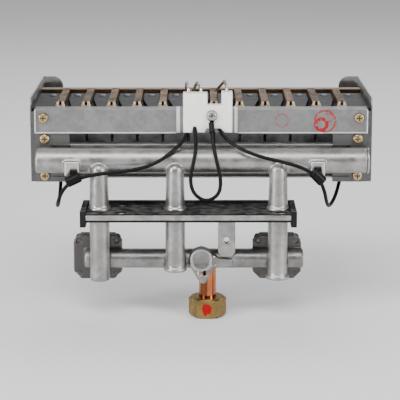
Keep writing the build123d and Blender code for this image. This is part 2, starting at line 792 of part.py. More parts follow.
nut_seat = gas_tube_foot + 0.3
nut_top = nut_seat + nut_web
nut_bottom = nut_top - nut_height
thread_top = collar_foot - washer_thickness - 0.3
corner_radius = nut_across_flats / math.sqrt(3)
with BuildPart() as union_nut:
    with BuildSketch(Plane.XY.offset(nut_bottom)):
        with Locations((gas_tube_x, header_y)):
            RegularPolygon(nut_across_flats / 2, 6, major_radius=False, rotation=0)
    extrude(amount=nut_height)
    # Both ends are turned down to a cone at the corners.
    with BuildSketch(Plane.XZ.offset(-header_y), mode=Mode.PRIVATE) as turning:
        with BuildLine():
            Polyline(
                (gas_tube_x, nut_bottom),
                (gas_tube_x + corner_radius - 2.4, nut_bottom),
                (gas_tube_x + corner_radius + 0.2, nut_bottom + 1.8),
                (gas_tube_x + corner_radius + 0.2, nut_top - 1.8),
                (gas_tube_x + corner_radius - 2.4, nut_top),
                (gas_tube_x, nut_top),
                close=True,
            )
        make_face()
    nut_envelope = revolve(turning.sketch, axis=Axis((gas_tube_x, header_y, 0), (0, 0, 1)), mode=Mode.PRIVATE)
    add(nut_envelope, mode=Mode.INTERSECT)
    with BuildSketch(Plane.XY.offset(nut_bottom)):
        with Locations((gas_tube_x, header_y)):
            Circle(nut_thread_radius)
    extrude(amount=thread_top - nut_bottom, mode=Mode.SUBTRACT)
    with BuildSketch(Plane.XY.offset(thread_top)):
        with Locations((gas_tube_x, header_y)):
            Circle(nut_relief_radius)
    extrude(amount=nut_seat - thread_top, mode=Mode.SUBTRACT)
    with BuildSketch(Plane.XY.offset(nut_seat)):
        with Locations((gas_tube_x, header_y)):
            Circle(gas_tube_radius + running_gap)
    extrude(amount=nut_web, mode=Mode.SUBTRACT)
write(union_nut.part, "union_nut")

# --- leads: routes from the block over the tube to the clips, and the loop back to the screw ---
block_back = bar_front + recess_depth
block_screw = ((block_left + block_right) / 2 + 3.4, block_bottom + 14.3)
earth_exit_x = block_left + 9.4
coil_rest = rack_bottom + sheet
coil_y = 86.0
coil_z = coil_rest + coil_bundle + coil_radius
coil_x = half_rack - sheet - 7.2
lead_routes = {
    "spark_lead": [
        (-10.9, 15.4, 65.0),
        (-12.4, 10.8, 57.4),
        (-23.5, -3.0, 48.5),
        (-39.0, -7.5, 38.5),
        (-58.5, -9.5, 34.0),
        (-82.7, -10.8, 32.2),
        (-103.4, -9.8, 27.2),
        (-113.0, -8.0, 17.5),
        (-117.6, 0.0, 4.5),
        (-118.2, 17.0, -0.5),
        (-118.0, 34.0, 4.0),
        (-117.6, 48.0, 18.0),
        (-119.6, 59.0, 25.8),
        (-127.0, 71.0, 26.6),
        (-coil_x, coil_y, coil_rest + coil_bundle),
    ],
    "flame_lead": [
        (13.5, 15.4, 68.0),
        (16.2, 9.4, 60.0),
        (31.5, -4.0, 51.0),
        (48.5, -8.0, 45.2),
        (65.3, -9.6, 41.6),
        (81.8, -10.0, 37.0),
        (94.2, -9.8, 29.2),
        (99.6, -8.4, 18.6),
        (102.4, 0.0, 4.8),
        (106.0, 17.0, -0.8),
        (112.0, 34.0, 4.0),
        (117.2, 48.0, 18.0),
        (119.8, 59.0, 25.8),
        (127.0, 71.0, 26.6),
        (coil_x, coil_y, coil_rest + coil_bundle),
    ],
    "earth_lead": [
        (-5.3, 15.4, 69.0),
        (-4.9, 10.0, 60.6),
        (-4.2, -3.0, 51.6),
        (-6.4, -7.6, 40.0),
        (-9.4, -8.6, 25.4),
        (-5.6, -8.9, 14.0),
        (4.4, -9.2, 8.6),
        (14.6, -9.0, 14.4),
        (16.0, -8.4, 27.0),
        (12.6, -7.0, 41.0),
        (9.8, -3.4, 53.4),
        (8.8, 3.2, 63.4),
    ],
}


def turn_radii(points):
    """The radius of each bend: 0.45 of its shorter run, divided by the tangent of half its turn."""
    radii = []
    for before, corner, after in zip(points, points[1:], points[2:]):
        run_in = Vector(*corner) - Vector(*before)
        run_out = Vector(*after) - Vector(*corner)
        half_turn = math.radians(run_in.get_angle(run_out)) / 2
        radii.append(0.45 * min(run_in.length, run_out.length) / math.tan(half_turn))
    return radii


leads = {}
lead_lengths = {}
lead_ends = {}
for name, points in lead_routes.items():
    radii = turn_radii(points)
    with BuildPart() as lead:
        with BuildLine():
            route = FilletPolyline(*points, radius=radii)
        with BuildSketch(Plane(origin=points[0], z_dir=route % 0)):
            Circle(lead_diameter / 2)
        sweep()
    leads[name] = lead.part
    lead_lengths[name] = route.length
    lead_ends[name] = Plane(origin=route @ 1, z_dir=route % 1)
    section = math.pi * lead_diameter**2 / 4
    print(name, "length", round(route.length, 1), "volume share", round(lead.part.volume / section / route.length, 4))
    print("  radii", [round(r, 1) for r in radii])
    write(lead.part, name)

# The length beyond each clip is wound up and stands on the side plate's bottom flange.
coil_turns = 2.75
terminal_length = 16.0
for name, side in (("spark_lead", -1), ("flame_lead", 1)):
    with BuildPart() as coil:
        with BuildSketch(Plane.XY.offset(coil_z)):
            with Locations((side * coil_x, coil_y - coil_radius)):
                Circle(coil_bundle)
        revolve(axis=Axis((0, coil_y, coil_z), (1, 0, 0)))
    write(coil.part, f"{name}_coil")
    with BuildPart() as terminal:
        with BuildSketch(Plane.XY.offset(coil_z + 2.0)):
            with Locations((side * coil_x, coil_y - coil_radius)):
                Circle(terminal_radius)
        extrude(amount=-terminal_length)
    write(terminal.part, f"{name}_terminal")
    coiled = coil_turns * 2 * math.pi * coil_radius
    print(name, "whole length", round(lead_lengths[name] + coiled, 1))

# --- electrode block: notched ceramic with three rods ---
rod_x = (block_left + 4.2, block_left + 14.5, block_right - 4.5)
rod_y = block_front + 6.0
notch_left, notch_right, notch_floor = block_notch
with BuildPart() as electrode_block:
    with BuildSketch(Plane.XZ.offset(-block_back)):
        with BuildLine():
            Polyline(
                (block_left, block_bottom),
                (block_left, block_top),
                (notch_left, block_top),
                (notch_left, notch_floor),
                (notch_right, notch_floor),
                (notch_right, prong_top),
                (block_right, prong_top),
                (block_right, block_bottom),
                (block_right - 6.0, block_bottom),
                (block_right - 9.6, block_bottom + 3.4),
                (notch_left - 0.6, block_bottom + 3.4),
                (notch_left - 2.0, block_bottom),
                (earth_exit_x + 2.6, block_bottom),
                (earth_exit_x + 1.2, block_bottom + 5.0),
                (earth_exit_x - 1.2, block_bottom + 5.0),
                (earth_exit_x - 2.6, block_bottom),
                close=True,
            )
        make_face()
        with Locations(block_screw):
            Circle(2.0 + clearance, mode=Mode.SUBTRACT)
    extrude(amount=block_back - block_front)
    front_edges = electrode_block.faces().sort_by(Axis.Y)[0].outer_wire().edges()
    chamfer(front_edges, 0.7)
    with BuildSketch(Plane.XY.offset(block_bottom + 12.0)):
        with Locations([(x, rod_y) for x in rod_x]):
            Circle(rod_radius + 0.05)
    extrude(amount=40.0, mode=Mode.SUBTRACT)
    for lead_part in leads.values():
        add(lead_part, mode=Mode.SUBTRACT)
write(electrode_block.part, "electrode_block")

rod_bend = 98.2
rod_paths = {
    "spark_electrode": (rod_x[0], [(-12.2, 42.0, rod_bend + 0.6), (-12.4, 52.0, ridge_top + 6.0)]),
    "earth_electrode": (rod_x[1], [(-3.4, 42.0, rod_bend + 0.6), (-7.6, 52.0, ridge_top + 6.0)]),
    "flame_electrode": (rod_x[2], [(19.6, 50.0, rod_bend + 0.8), (12.6, 70.0, ridge_top + 5.0)]),
}
for name, (x, bends) in rod_paths.items():
    start = (x, rod_y, block_bottom + 12.0)
    with BuildPart() as rod:
        with BuildLine():
            rod_line = FilletPolyline(start, (x, rod_y, rod_bend), *bends, radius=3.0)
        with BuildSketch(Plane(origin=start, z_dir=rod_line % 0)):
            Circle(rod_radius)
        sweep()
    write(rod.part, name)

ring_thickness = 0.8
with BuildPart() as earth_terminal:
    with BuildSketch(Plane.XZ.offset(-block_front)):
        with Locations(block_screw):
            Circle(4.6)
        with Locations((block_screw[0], block_screw[1] - 5.0)):
            Rectangle(3.4, 6.4)
        with Locations(block_screw):
            Circle(2.0 + clearance, mode=Mode.SUBTRACT)
    extrude(amount=ring_thickness)
    with BuildSketch(lead_ends["earth_lead"]):
        Circle(2.3)
    extrude(amount=8.2)
write(earth_terminal.part, "earth_terminal")
block_fastener = screw(4.0, 2.6, 2.0, block_back - block_front + ring_thickness + 3.0)
block_seat = block_front - ring_thickness
write(block_fastener.moved(Location((block_screw[0], block_seat, block_screw[1]))), "block_screw")

# --- cable clips: a sleeve round each lead with a foot on its lug ---
clip_radius = 4.4
clip_length = 12.0
clip_points = {"cable_clip_left": ("spark_lead", 6), "cable_clip_right": ("flame_lead", 6)}
for name, (lead_name, corner) in clip_points.items():
    before, centre, after = (Vector(*lead_routes[lead_name][corner + step]) for step in (-1, 0, 1))
    along = (after - before).normalized()
    with BuildPart() as clip:
        with BuildSketch(Plane(origin=centre - along * clip_length / 2, z_dir=along)):
            Circle(clip_radius)
        extrude(amount=clip_length)
        fillet(clip.edges().filter_by(GeomType.CIRCLE), 1.0)
        with BuildSketch(Plane.XZ.offset(-lug_front)):
            with Locations((centre.X, centre.Z + 3.0)):
                Rectangle(6.0, 9.0)
        extrude(amount=4.6)
        add(leads[lead_name], mode=Mode.SUBTRACT)
    write(clip.part, name)
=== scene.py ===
"""Blade burner assembly: looks, leads and stage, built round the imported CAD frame."""

import math

import bmesh
import bpy
from bpy.props import FloatProperty, FloatVectorProperty, IntProperty, PointerProperty
from mathutils import Matrix, Vector


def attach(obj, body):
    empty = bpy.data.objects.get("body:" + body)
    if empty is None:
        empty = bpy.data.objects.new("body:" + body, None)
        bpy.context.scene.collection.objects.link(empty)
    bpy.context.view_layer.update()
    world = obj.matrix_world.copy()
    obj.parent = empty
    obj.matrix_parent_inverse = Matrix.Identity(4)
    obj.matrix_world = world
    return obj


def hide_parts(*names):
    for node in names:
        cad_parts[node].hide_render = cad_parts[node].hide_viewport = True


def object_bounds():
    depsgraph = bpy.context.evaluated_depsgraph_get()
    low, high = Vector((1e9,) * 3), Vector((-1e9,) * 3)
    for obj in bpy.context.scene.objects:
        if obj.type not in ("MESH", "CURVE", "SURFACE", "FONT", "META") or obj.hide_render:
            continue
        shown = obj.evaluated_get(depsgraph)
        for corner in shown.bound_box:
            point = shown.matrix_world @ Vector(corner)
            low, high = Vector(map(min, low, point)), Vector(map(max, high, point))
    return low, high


bl_info = {
    "name": "Blade burner assembly",
    "version": (1, 0, 0),
    "blender": (4, 5, 0),
    "location": "View3D > Sidebar > Burner",
    "description": "Finishes and details for a gas burner rack with its manifold and leads",
    "category": "Object",
}

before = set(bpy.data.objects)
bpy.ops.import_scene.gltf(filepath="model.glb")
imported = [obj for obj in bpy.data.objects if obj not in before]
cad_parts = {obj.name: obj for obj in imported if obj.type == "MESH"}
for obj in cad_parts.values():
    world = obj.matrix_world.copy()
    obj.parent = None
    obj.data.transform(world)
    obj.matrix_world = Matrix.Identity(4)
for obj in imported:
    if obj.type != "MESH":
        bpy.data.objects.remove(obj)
cad_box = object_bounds()

MM = 0.001
BURNER = "burner"
NUT = "union_nut"
BLADES = [f"blade_{number:02d}" for number in range(1, 13)]


# --- settings ---
class BurnerSettings(bpy.types.PropertyGroup):
    """Sizes and colours of the burner that a user may change."""

    lead_diameter: FloatProperty(
        name="Lead diameter",
        description="Outside diameter of the electrode leads",
        default=3.0 * MM,
        unit="LENGTH",
    )
    coil_turns: FloatProperty(
        name="Coil turns",
        description="Turns of lead wound up behind each side plate",
        default=2.75,
    )
    coil_radius: FloatProperty(
        name="Coil radius",
        description="Radius at the middle of the wound turns",
        default=16.5 * MM,
        unit="LENGTH",
    )
    coil_points: IntProperty(
        name="Points a turn",
        description="Control points in each turn of the coil",
        default=14,
    )
    wear_width: FloatProperty(
        name="Wear width",
        description="Width of the rubbed band along metal edges",
        default=0.5 * MM,
        unit="LENGTH",
    )
    cast_colour: FloatVectorProperty(
        name="Cast alloy",
        description="Colour of the die-cast manifold",
        default=(0.39, 0.38, 0.365),
        subtype="COLOR",
    )
    sheet_colour: FloatVectorProperty(
        name="Galvanised sheet",
        description="Colour of the plated sheet",
        default=(0.40, 0.40, 0.40),
        subtype="COLOR",
    )
    tint_colour: FloatVectorProperty(
        name="Heat tint",
        description="Colour of the ridges where heat has tinted them",
        default=(0.33, 0.225, 0.15),
        subtype="COLOR",
    )
    ceramic_colour: FloatVectorProperty(
        name="Ceramic",
        description="Colour of the electrode block",
        default=(0.93, 0.925, 0.90),
        subtype="COLOR",
    )
    copper_colour: FloatVectorProperty(
        name="Copper", description="Colour of the gas tube", default=(0.62, 0.20, 0.085), subtype="COLOR"
    )
    brass_colour: FloatVectorProperty(
        name="Brass",
        description="Colour of the union nut and injectors",
        default=(0.36, 0.235, 0.08),
        subtype="COLOR",
    )
    paint_colour: FloatVectorProperty(
        name="Marking paint",
        description="Colour of the dab on the nut and the rings on the bar",
        default=(0.30, 0.0, 0.002),
        subtype="COLOR",
    )
    key_power: FloatProperty(
        name="Key light",
        description="Power of the main soft light",
        default=30.0,
        unit="POWER",
    )
    side_power: FloatProperty(
        name="Side lights",
        description="Power of the side lights",
        default=26.0,
        unit="POWER",
    )


# --- small helpers for node trees ---
def put(tree, kind, values=None, **settings):
    """Adds a node; values by socket name or number are constants or another node's output."""
    made = tree.nodes.new(kind)
    for key, value in settings.items():
        setattr(made, key, value)
    for key, value in (values or {}).items():
        if isinstance(value, bpy.types.NodeSocket):
            tree.links.new(value, made.inputs[key])
        else:
            made.inputs[key].default_value = value
    return made


def calc(tree, operation, first, second=0.0, third=0.0, clamp=False):
    """The result of one Math node."""
    values = {0: first, 1: second, 2: third}
    return put(tree, "ShaderNodeMath", values, operation=operation, use_clamp=clamp).outputs[0]


def blend_colour(tree, share, low, high):
    """A colour between low and high."""
    values = {0: share, 6: low, 7: high}
    return put(tree, "ShaderNodeMix", values, data_type="RGBA").outputs[2]


def noise(tree, vector, scale, detail):
    """The value of a Noise texture."""
    values = {"Vector": vector, "Scale": scale, "Detail": detail}
    return put(tree, "ShaderNodeTexNoise", values).outputs[0]


def split(tree, vector):
    """The X, Y and Z of a vector."""
    return put(tree, "ShaderNodeSeparateXYZ", {0: vector}).outputs


def off_middle(tree, value, middle):
    """How far value is from middle, either way."""
    return calc(tree, "ABSOLUTE", calc(tree, "SUBTRACT", value, middle))


def ramp(tree, value, low, high, to_low=0.0, to_high=1.0):
    """Maps value from low..high onto to_low..to_high, smoothly and within those limits."""
    values = {0: value, 1: low, 2: high, 3: to_low, 4: to_high}
    return put(tree, "ShaderNodeMapRange", values, interpolation_type="SMOOTHSTEP").outputs[0]


def rgba(colour):
    return (*colour[:3], 1.0)


def group(name, inputs, outputs):
    """A new shader node group with named sockets; returns its tree, input node and output node."""
    tree = bpy.data.node_groups.new(name, "ShaderNodeTree")
    kinds = {"value": "NodeSocketFloat", "vector": "NodeSocketVector"}
    for label, (kind, start) in inputs.items():
        socket = tree.interface.new_socket(label, in_out="INPUT", socket_type=kinds[kind])
        if start is not None:
            socket.default_value = start
    for label, kind in outputs.items():
        tree.interface.new_socket(label, in_out="OUTPUT", socket_type=kinds[kind])
    return tree, tree.nodes.new("NodeGroupInput"), tree.nodes.new("NodeGroupOutput")


def use(tree, effect, **values):
    """Places an effect group in a material; underscores in the names stand for spaces."""
    made = tree.nodes.new("ShaderNodeGroup")
    made.node_tree = bpy.data.node_groups[effect]
    for key, value in values.items():
        label = key.replace("_", " ")
        if isinstance(value, bpy.types.NodeSocket):
            tree.links.new(value, made.inputs[label])
        else:
            made.inputs[label].default_value = value
    return made.outputs


# --- shared effects ---
POINT = ("vector", None)


def make_edge_wear():
    """Patchy wear where a bevel of the given width would bend the surface."""
    tree, given, out = group(
        "Edge wear",
        {
            "Width": ("value", 0.0005),
            "Amount": ("value", 1.0),
            "Patch scale": ("value", 160.0),
            "Vector": POINT,
        },
        {"Mask": "value"},
    )
    rounded = put(tree, "ShaderNodeBevel", {"Radius": given.outputs["Width"]}, samples=6)
    flat = put(tree, "ShaderNodeNewGeometry")
    normals = {0: rounded.outputs[0], 1: flat.outputs["Normal"]}
    facing = put(tree, "ShaderNodeVectorMath", normals, operation="DOT_PRODUCT")
    edge = ramp(tree, calc(tree, "SUBTRACT", 1.0, facing.outputs["Value"]), 0.01, 0.16)
    patches = noise(tree, given.outputs["Vector"], given.outputs["Patch scale"], 3.0)
    broken = calc(tree, "MULTIPLY", edge, ramp(tree, patches, 0.32, 0.62))
    mask = calc(tree, "MULTIPLY", broken, given.outputs["Amount"], clamp=True)
    tree.links.new(mask, out.inputs["Mask"])


def make_mottle():
    """Soft clouds with finer ones in them."""
    tree, given, out = group("Mottle", {"Vector": POINT, "Scale": ("value", 40.0)}, {"Mask": "value"})
    broad = noise(tree, given.outputs["Vector"], given.outputs["Scale"], 4.0)
    finer = calc(tree, "MULTIPLY", given.outputs["Scale"], 4.3)
    small = noise(tree, given.outputs["Vector"], finer, 2.0)
    mixed = calc(tree, "MULTIPLY_ADD", small, 0.35, calc(tree, "MULTIPLY", broad, 0.65))
    tree.links.new(ramp(tree, mixed, 0.36, 0.64), out.inputs["Mask"])


def make_cast_skin():
    """Fine grain over a slow swell, with pits."""
    tree, given, out = group(
        "Cast skin", {"Vector": POINT, "Scale": ("value", 900.0)}, {"Height": "value", "Pits": "value"}
    )
    grain = noise(tree, given.outputs["Vector"], given.outputs["Scale"], 3.0)
    swell = noise(tree, given.outputs["Vector"], calc(tree, "MULTIPLY", given.outputs["Scale"], 0.22), 2.0)
    spacing = calc(tree, "MULTIPLY", given.outputs["Scale"], 0.28)
    cells = put(tree, "ShaderNodeTexVoronoi", {"Vector": given.outputs["Vector"], "Scale": spacing})
    pits = ramp(tree, cells.outputs["Distance"], 0.04, 0.16, 1.0, 0.0)
    height = calc(tree, "MULTIPLY_ADD", grain, 0.4, swell)
    pitted = calc(tree, "SUBTRACT", height, calc(tree, "MULTIPLY", pits, 0.5))
    tree.links.new(pitted, out.inputs["Height"])
    tree.links.new(pits, out.inputs["Pits"])


def make_spangle():
    """Zinc crystals, each of its own tone, under light clouding."""
    tree, given, out = group(
        "Spangle", {"Vector": POINT, "Scale": ("value", 240.0)}, {"Tone": "value", "Height": "value"}
    )
    placed = {"Vector": given.outputs["Vector"], "Scale": given.outputs["Scale"]}
    crystals = put(tree, "ShaderNodeTexVoronoi", placed)
    shade = put(tree, "ShaderNodeSeparateColor", {0: crystals.outputs["Color"]})
    cloud = noise(tree, given.outputs["Vector"], calc(tree, "MULTIPLY", given.outputs["Scale"], 0.2), 3.0)
    tone = calc(tree, "MULTIPLY_ADD", shade.outputs[0], 0.45, calc(tree, "MULTIPLY", cloud, 0.55))
    tree.links.new(tone, out.inputs["Tone"])
    tree.links.new(calc(tree, "MULTIPLY", crystals.outputs["Distance"], 0.3), out.inputs["Height"])


def make_drawn_lines():
    """Lines that run along the axis with the smallest of the three scales."""
    tree, given, out = group(
        "Drawn lines", {"Vector": POINT, "Across": ("vector", (900.0, 900.0, 12.0))}, {"Height": "value"}
    )
    scales = {0: given.outputs["Vector"], 1: given.outputs["Across"]}
    stretched = put(tree, "ShaderNodeVectorMath", scales, operation="MULTIPLY")
    tree.links.new(noise(tree, stretched.outputs[0], 1.0, 4.0), out.inputs["Height"])


def make_settled_dust():
    """Flecks on whatever faces up."""
    tree, given, out = group("Settled dust", {"Vector": POINT, "Amount": ("value", 0.4)}, {"Mask": "value"})
    up = split(tree, put(tree, "ShaderNodeNewGeometry").outputs["Normal"])
    upward = ramp(tree, up["Z"], 0.25, 0.95)
    flecks = noise(tree, given.outputs["Vector"], 130.0, 5.0)
    share = calc(tree, "MULTIPLY", upward, ramp(tree, flecks, 0.35, 0.7))
    tree.links.new(calc(tree, "MULTIPLY", share, given.outputs["Amount"]), out.inputs["Mask"])


def make_ink_ring():
    """A broken ring of ink, flat on a face that looks along Y."""
    tree, given, out = group(
        "Ink ring",
        {
            "Vector": POINT,
            "Centre X": ("value", 0.0),
            "Centre Z": ("value", 0.0),
            "Radius": ("value", 0.004),
            "Line": ("value", 0.0006),
            "Break up": ("value", 0.5),
            "Strength": ("value", 1.0),
        },
        {"Mask": "value"},
    )
    axes = split(tree, given.outputs["Vector"])
    offs = [off_middle(tree, axes[axis], given.outputs[f"Centre {axis}"]) for axis in "XZ"]
    reach = calc(tree, "SQRT", calc(tree, "ADD", *[calc(tree, "POWER", off, 2.0) for off in offs]))
    off_line = off_middle(tree, reach, given.outputs["Radius"])
    line = calc(tree, "LESS_THAN", off_line, given.outputs["Line"])
    gaps = noise(tree, given.outputs["Vector"], 420.0, 2.0)
    broken = given.outputs["Break up"]
    missing, solid = (calc(tree, "MULTIPLY_ADD", broken, 0.3, least) for least in (0.28, 0.36))
    marked = calc(tree, "MULTIPLY", line, ramp(tree, gaps, missing, solid))
    tree.links.new(calc(tree, "MULTIPLY", marked, given.outputs["Strength"]), out.inputs["Mask"])


def make_effects():
    """Builds every effect that more than one material uses."""
    make_edge_wear()
    make_mottle()
    make_cast_skin()
    make_spangle()
    make_drawn_lines()
    make_settled_dust()
    make_ink_ring()


# --- finishes ---
SHEET_METALLIC = 0.9
EASED_EDGE = 0.35 * MM
EAR_DEPTHS = (0.0395, 0.0425)
HEATED_HEIGHTS = (0.074, 0.079)

# Painted highlight on the front bar's lower lip.
LIP_HIGHLIGHT_ZINC = (0.80, 0.80, 0.79, 1.0)
# Painted highlight on the cheeks of the bar's recess.
CHEEK_HIGHLIGHT_ZINC = (0.86, 0.86, 0.84, 1.0)
# Painted highlight on the tops of the deck's dimples.
DIMPLE_HIGHLIGHT = (0.21, 0.24, 0.27, 1.0)
# Painted highlight on the front ears of the blade ridges.
EAR_HIGHLIGHT = (0.92, 0.72, 0.50, 1.0)
TINNED = (0.60, 0.59, 0.55, 1.0)
WARM_DUST = (0.36, 0.34, 0.31, 1.0)
HANDLED = (0.36, 0.33, 0.30, 1.0)
GREY_DUST = (0.11, 0.108, 0.105, 1.0)
# Painted shade in the screw heads' recesses.
PAINTED_RECESS_SHADE = (0.06, 0.045, 0.03, 1.0)
BLACK = (0.004, 0.004, 0.0045)
JET_BLACK = (0.003, 0.003, 0.0034)


def start_finish(name):
    """A material with its shader, and the object coordinates that its patterns follow."""
    material = bpy.data.materials.new(name)
    material.use_nodes = True
    tree = material.node_tree
    tree.nodes.clear()
    out = put(tree, "ShaderNodeOutputMaterial")
    shader = put(tree, "ShaderNodeBsdfPrincipled")
    tree.links.new(shader.outputs[0], out.inputs[0])
    place = put(tree, "ShaderNodeTexCoord").outputs["Object"]
    return material, tree, shader, place


def roughen(tree, shader, mask, low, high):
    tree.links.new(ramp(tree, mask, 0.0, 1.0, low, high), shader.inputs["Roughness"])


def bump(tree, shader, height, distance, strength=0.5):
    """Surface grain over edges that are slightly rounded."""
    eased = put(tree, "ShaderNodeBevel", {"Radius": EASED_EDGE}, samples=4).outputs[0]
    values = {"Height": height, "Distance": distance, "Strength": strength, "Normal": eased}
    made = put(tree, "ShaderNodeBump", values)
    tree.links.new(made.outputs[0], shader.inputs["Normal"])


def worn(tree, place, colour, settings, bright, amount=0.6, width=1.0):
    """colour with its edges rubbed bright."""
    mask = use(tree, "Edge wear", Width=settings.wear_width * width, Amount=amount, Vector=place)["Mask"]
    return blend_colour(tree, mask, colour, rgba(bright))


def shade_of(colour, factor):
    return rgba([channel * factor for channel in colour])


def lighter(colour, factor):
    """colour made lighter, no channel past 1."""
    return [min(1.0, channel * factor) for channel in colour]


def galvanised(
    name, settings, tint, rings=(), heat=None, bright=(), lip_highlight_front=None, painted_shade_outside=None, painted_light_above=None
):
    """Zinc-plated sheet: faint spangle and rubbed edges, and what else the sheet has.

    rings are inspection marks, and heat is the height range over which the sheet turns brown.
    bright lists (middle, half width) strips along X that get a painted highlight, lips in front of
    a given depth get a painted highlight, and the sheet gets painted shade further than a given distance from
    the middle.
    Over a given range of heights it turns lighter, a painted highlight.
    """
    material, tree, shader, place = start_finish(name)
    base = [a * b for a, b in zip(settings.sheet_colour, tint)]
    spangle = use(tree, "Spangle", Vector=place, Scale=300.0)
    colour = blend_colour(tree, spangle["Tone"], shade_of(base, 0.78), shade_of(base, 1.2))
    soil = use(tree, "Mottle", Vector=place, Scale=34.0)["Mask"]
    colour = blend_colour(tree, calc(tree, "MULTIPLY", soil, 0.25), colour, shade_of(base, 0.5))
    colour = worn(tree, place, colour, settings, lighter(base, 1.7))
    axes = split(tree, place)

    def above(heights):
        return ramp(tree, calc(tree, "MULTIPLY_ADD", soil, 4.0 * MM, axes["Z"]), *heights)

    # Painted highlight: the front lip is lightened where light catches it.
    if lip_highlight_front:
        lip_highlight = ramp(tree, axes["Y"], lip_highlight_front, lip_highlight_front + 0.6 * MM, 1.0, 0.0)
        colour = blend_colour(tree, lip_highlight, colour, LIP_HIGHLIGHT_ZINC)
    # Painted highlight: strips such as the cheeks of the bar's recess are lightened.
    for middle, half in bright:
        cheek_highlight = ramp(tree, off_middle(tree, axes["X"], middle), half * 0.8, half, 1.0, 0.0)
        colour = blend_colour(tree, cheek_highlight, colour, CHEEK_HIGHLIGHT_ZINC)
    # Painted shade: the sheet is darkened beyond a distance from the middle, on the rail's outer tabs.
    if painted_shade_outside:
        outside = ramp(tree, calc(tree, "ABSOLUTE", axes["X"]), painted_shade_outside, painted_shade_outside + 0.5 * MM)
        colour = blend_colour(tree, outside, colour, shade_of(base, 0.3))
    # Painted highlight: the sheet turns lighter over a range of heights, on the side plates' ears.
    if painted_light_above:
        colour = blend_colour(tree, above(painted_light_above), colour, shade_of(settings.sheet_colour, 1.1))
    if heat:
        warm = calc(tree, "MULTIPLY", above(heat), 0.8)
        colour = blend_colour(tree, warm, colour, rgba(settings.tint_colour))
    metallic = None
    for ring in rings:
        mask = use(tree, "Ink ring", Vector=place, **ring)["Mask"]
        colour = blend_colour(tree, mask, colour, rgba(settings.paint_colour))
        bare = calc(tree, "MULTIPLY_ADD", mask, -SHEET_METALLIC, SHEET_METALLIC)
        metallic = bare if metallic is None else calc(tree, "MINIMUM", metallic, bare)
    tree.links.new(colour, shader.inputs["Base Color"])
    if metallic is None:
        shader.inputs["Metallic"].default_value = SHEET_METALLIC
    else:
        tree.links.new(metallic, shader.inputs["Metallic"])
    roughen(tree, shader, spangle["Tone"], 0.34, 0.52)
    bump(tree, shader, spangle["Height"], 0.05 * MM)
    return material


def cast_alloy(name, settings, tint=1.0, pads=(), pad_front=None, painted_shade_back=None):
    """Satin die-cast skin: fine grain, small pits and grey mottling.

    Each of pads, a middle and half width along X, is lighter in front of pad_front, and
    what lies behind a given depth is darkened with painted shade.
    """
    material, tree, shader, place = start_finish(name)
    base = [channel * tint for channel in settings.cast_colour]
    skin = use(tree, "Cast skin", Vector=place, Scale=900.0)
    cloud = use(tree, "Mottle", Vector=place, Scale=55.0)["Mask"]
    colour = blend_colour(tree, cloud, shade_of(base, 0.74), shade_of(base, 1.16))
    colour = blend_colour(tree, calc(tree, "MULTIPLY", skin["Pits"], 0.5), colour, shade_of(base, 0.4))
    axes = split(tree, place)
    # Painted shade: the casting is darkened behind a given depth, on the header's flanges.
    if painted_shade_back:
        behind = ramp(tree, axes["Y"], painted_shade_back, painted_shade_back + 0.5 * MM)
        colour = blend_colour(tree, calc(tree, "MULTIPLY", behind, 0.9), colour, shade_of(base, 0.26))
    for middle, half in pads:
        forward = ramp(tree, axes["Y"], pad_front - 0.5 * MM, pad_front, 1.0, 0.0)
        within = ramp(tree, off_middle(tree, axes["X"], middle), half, half + 0.6 * MM, 1.0, 0.0)
        colour = blend_colour(tree, calc(tree, "MULTIPLY", forward, within), colour, shade_of(base, 1.6))
    dust = use(tree, "Settled dust", Vector=place, Amount=0.35)["Mask"]
    colour = blend_colour(tree, dust, colour, WARM_DUST)
    colour = worn(tree, place, colour, settings, lighter(base, 1.5), 0.45, 1.6)
    tree.links.new(colour, shader.inputs["Base Color"])
    shader.inputs["Metallic"].default_value = 0.88
    roughen(tree, shader, cloud, 0.3, 0.44)
    bump(tree, shader, skin["Height"], 0.12 * MM, 0.6)
    return material


def dark_sheet(name, settings, base, tint_from=None, dimple_highlight_above=None):
    """Darkened sheet, browned over the depths tint_from, with a painted highlight over a given range of
    heights.
    """
    material, tree, shader, place = start_finish(name)
    cloud = use(tree, "Mottle", Vector=place, Scale=48.0)["Mask"]
    colour = blend_colour(tree, cloud, shade_of(base, 0.7), shade_of(base, 1.25))
    if tint_from:
        axes = split(tree, place)
        share = calc(tree, "MULTIPLY", ramp(tree, axes["Y"], *tint_from), 0.5)
        colour = blend_colour(tree, share, colour, shade_of(settings.tint_colour, 0.55))
        # Painted highlight on the tops of the dimples.
        colour = blend_colour(tree, ramp(tree, axes["Z"], *dimple_highlight_above), colour, DIMPLE_HIGHLIGHT)
    colour = worn(tree, place, colour, settings, lighter(base, 2.0), 0.4)
    tree.links.new(colour, shader.inputs["Base Color"])
    shader.inputs["Metallic"].default_value = 0.85
    roughen(tree, shader, cloud, 0.4, 0.58)
    grain = use(tree, "Cast skin", Vector=place, Scale=1500.0)["Height"]
    bump(tree, shader, grain, 0.04 * MM)
    return material


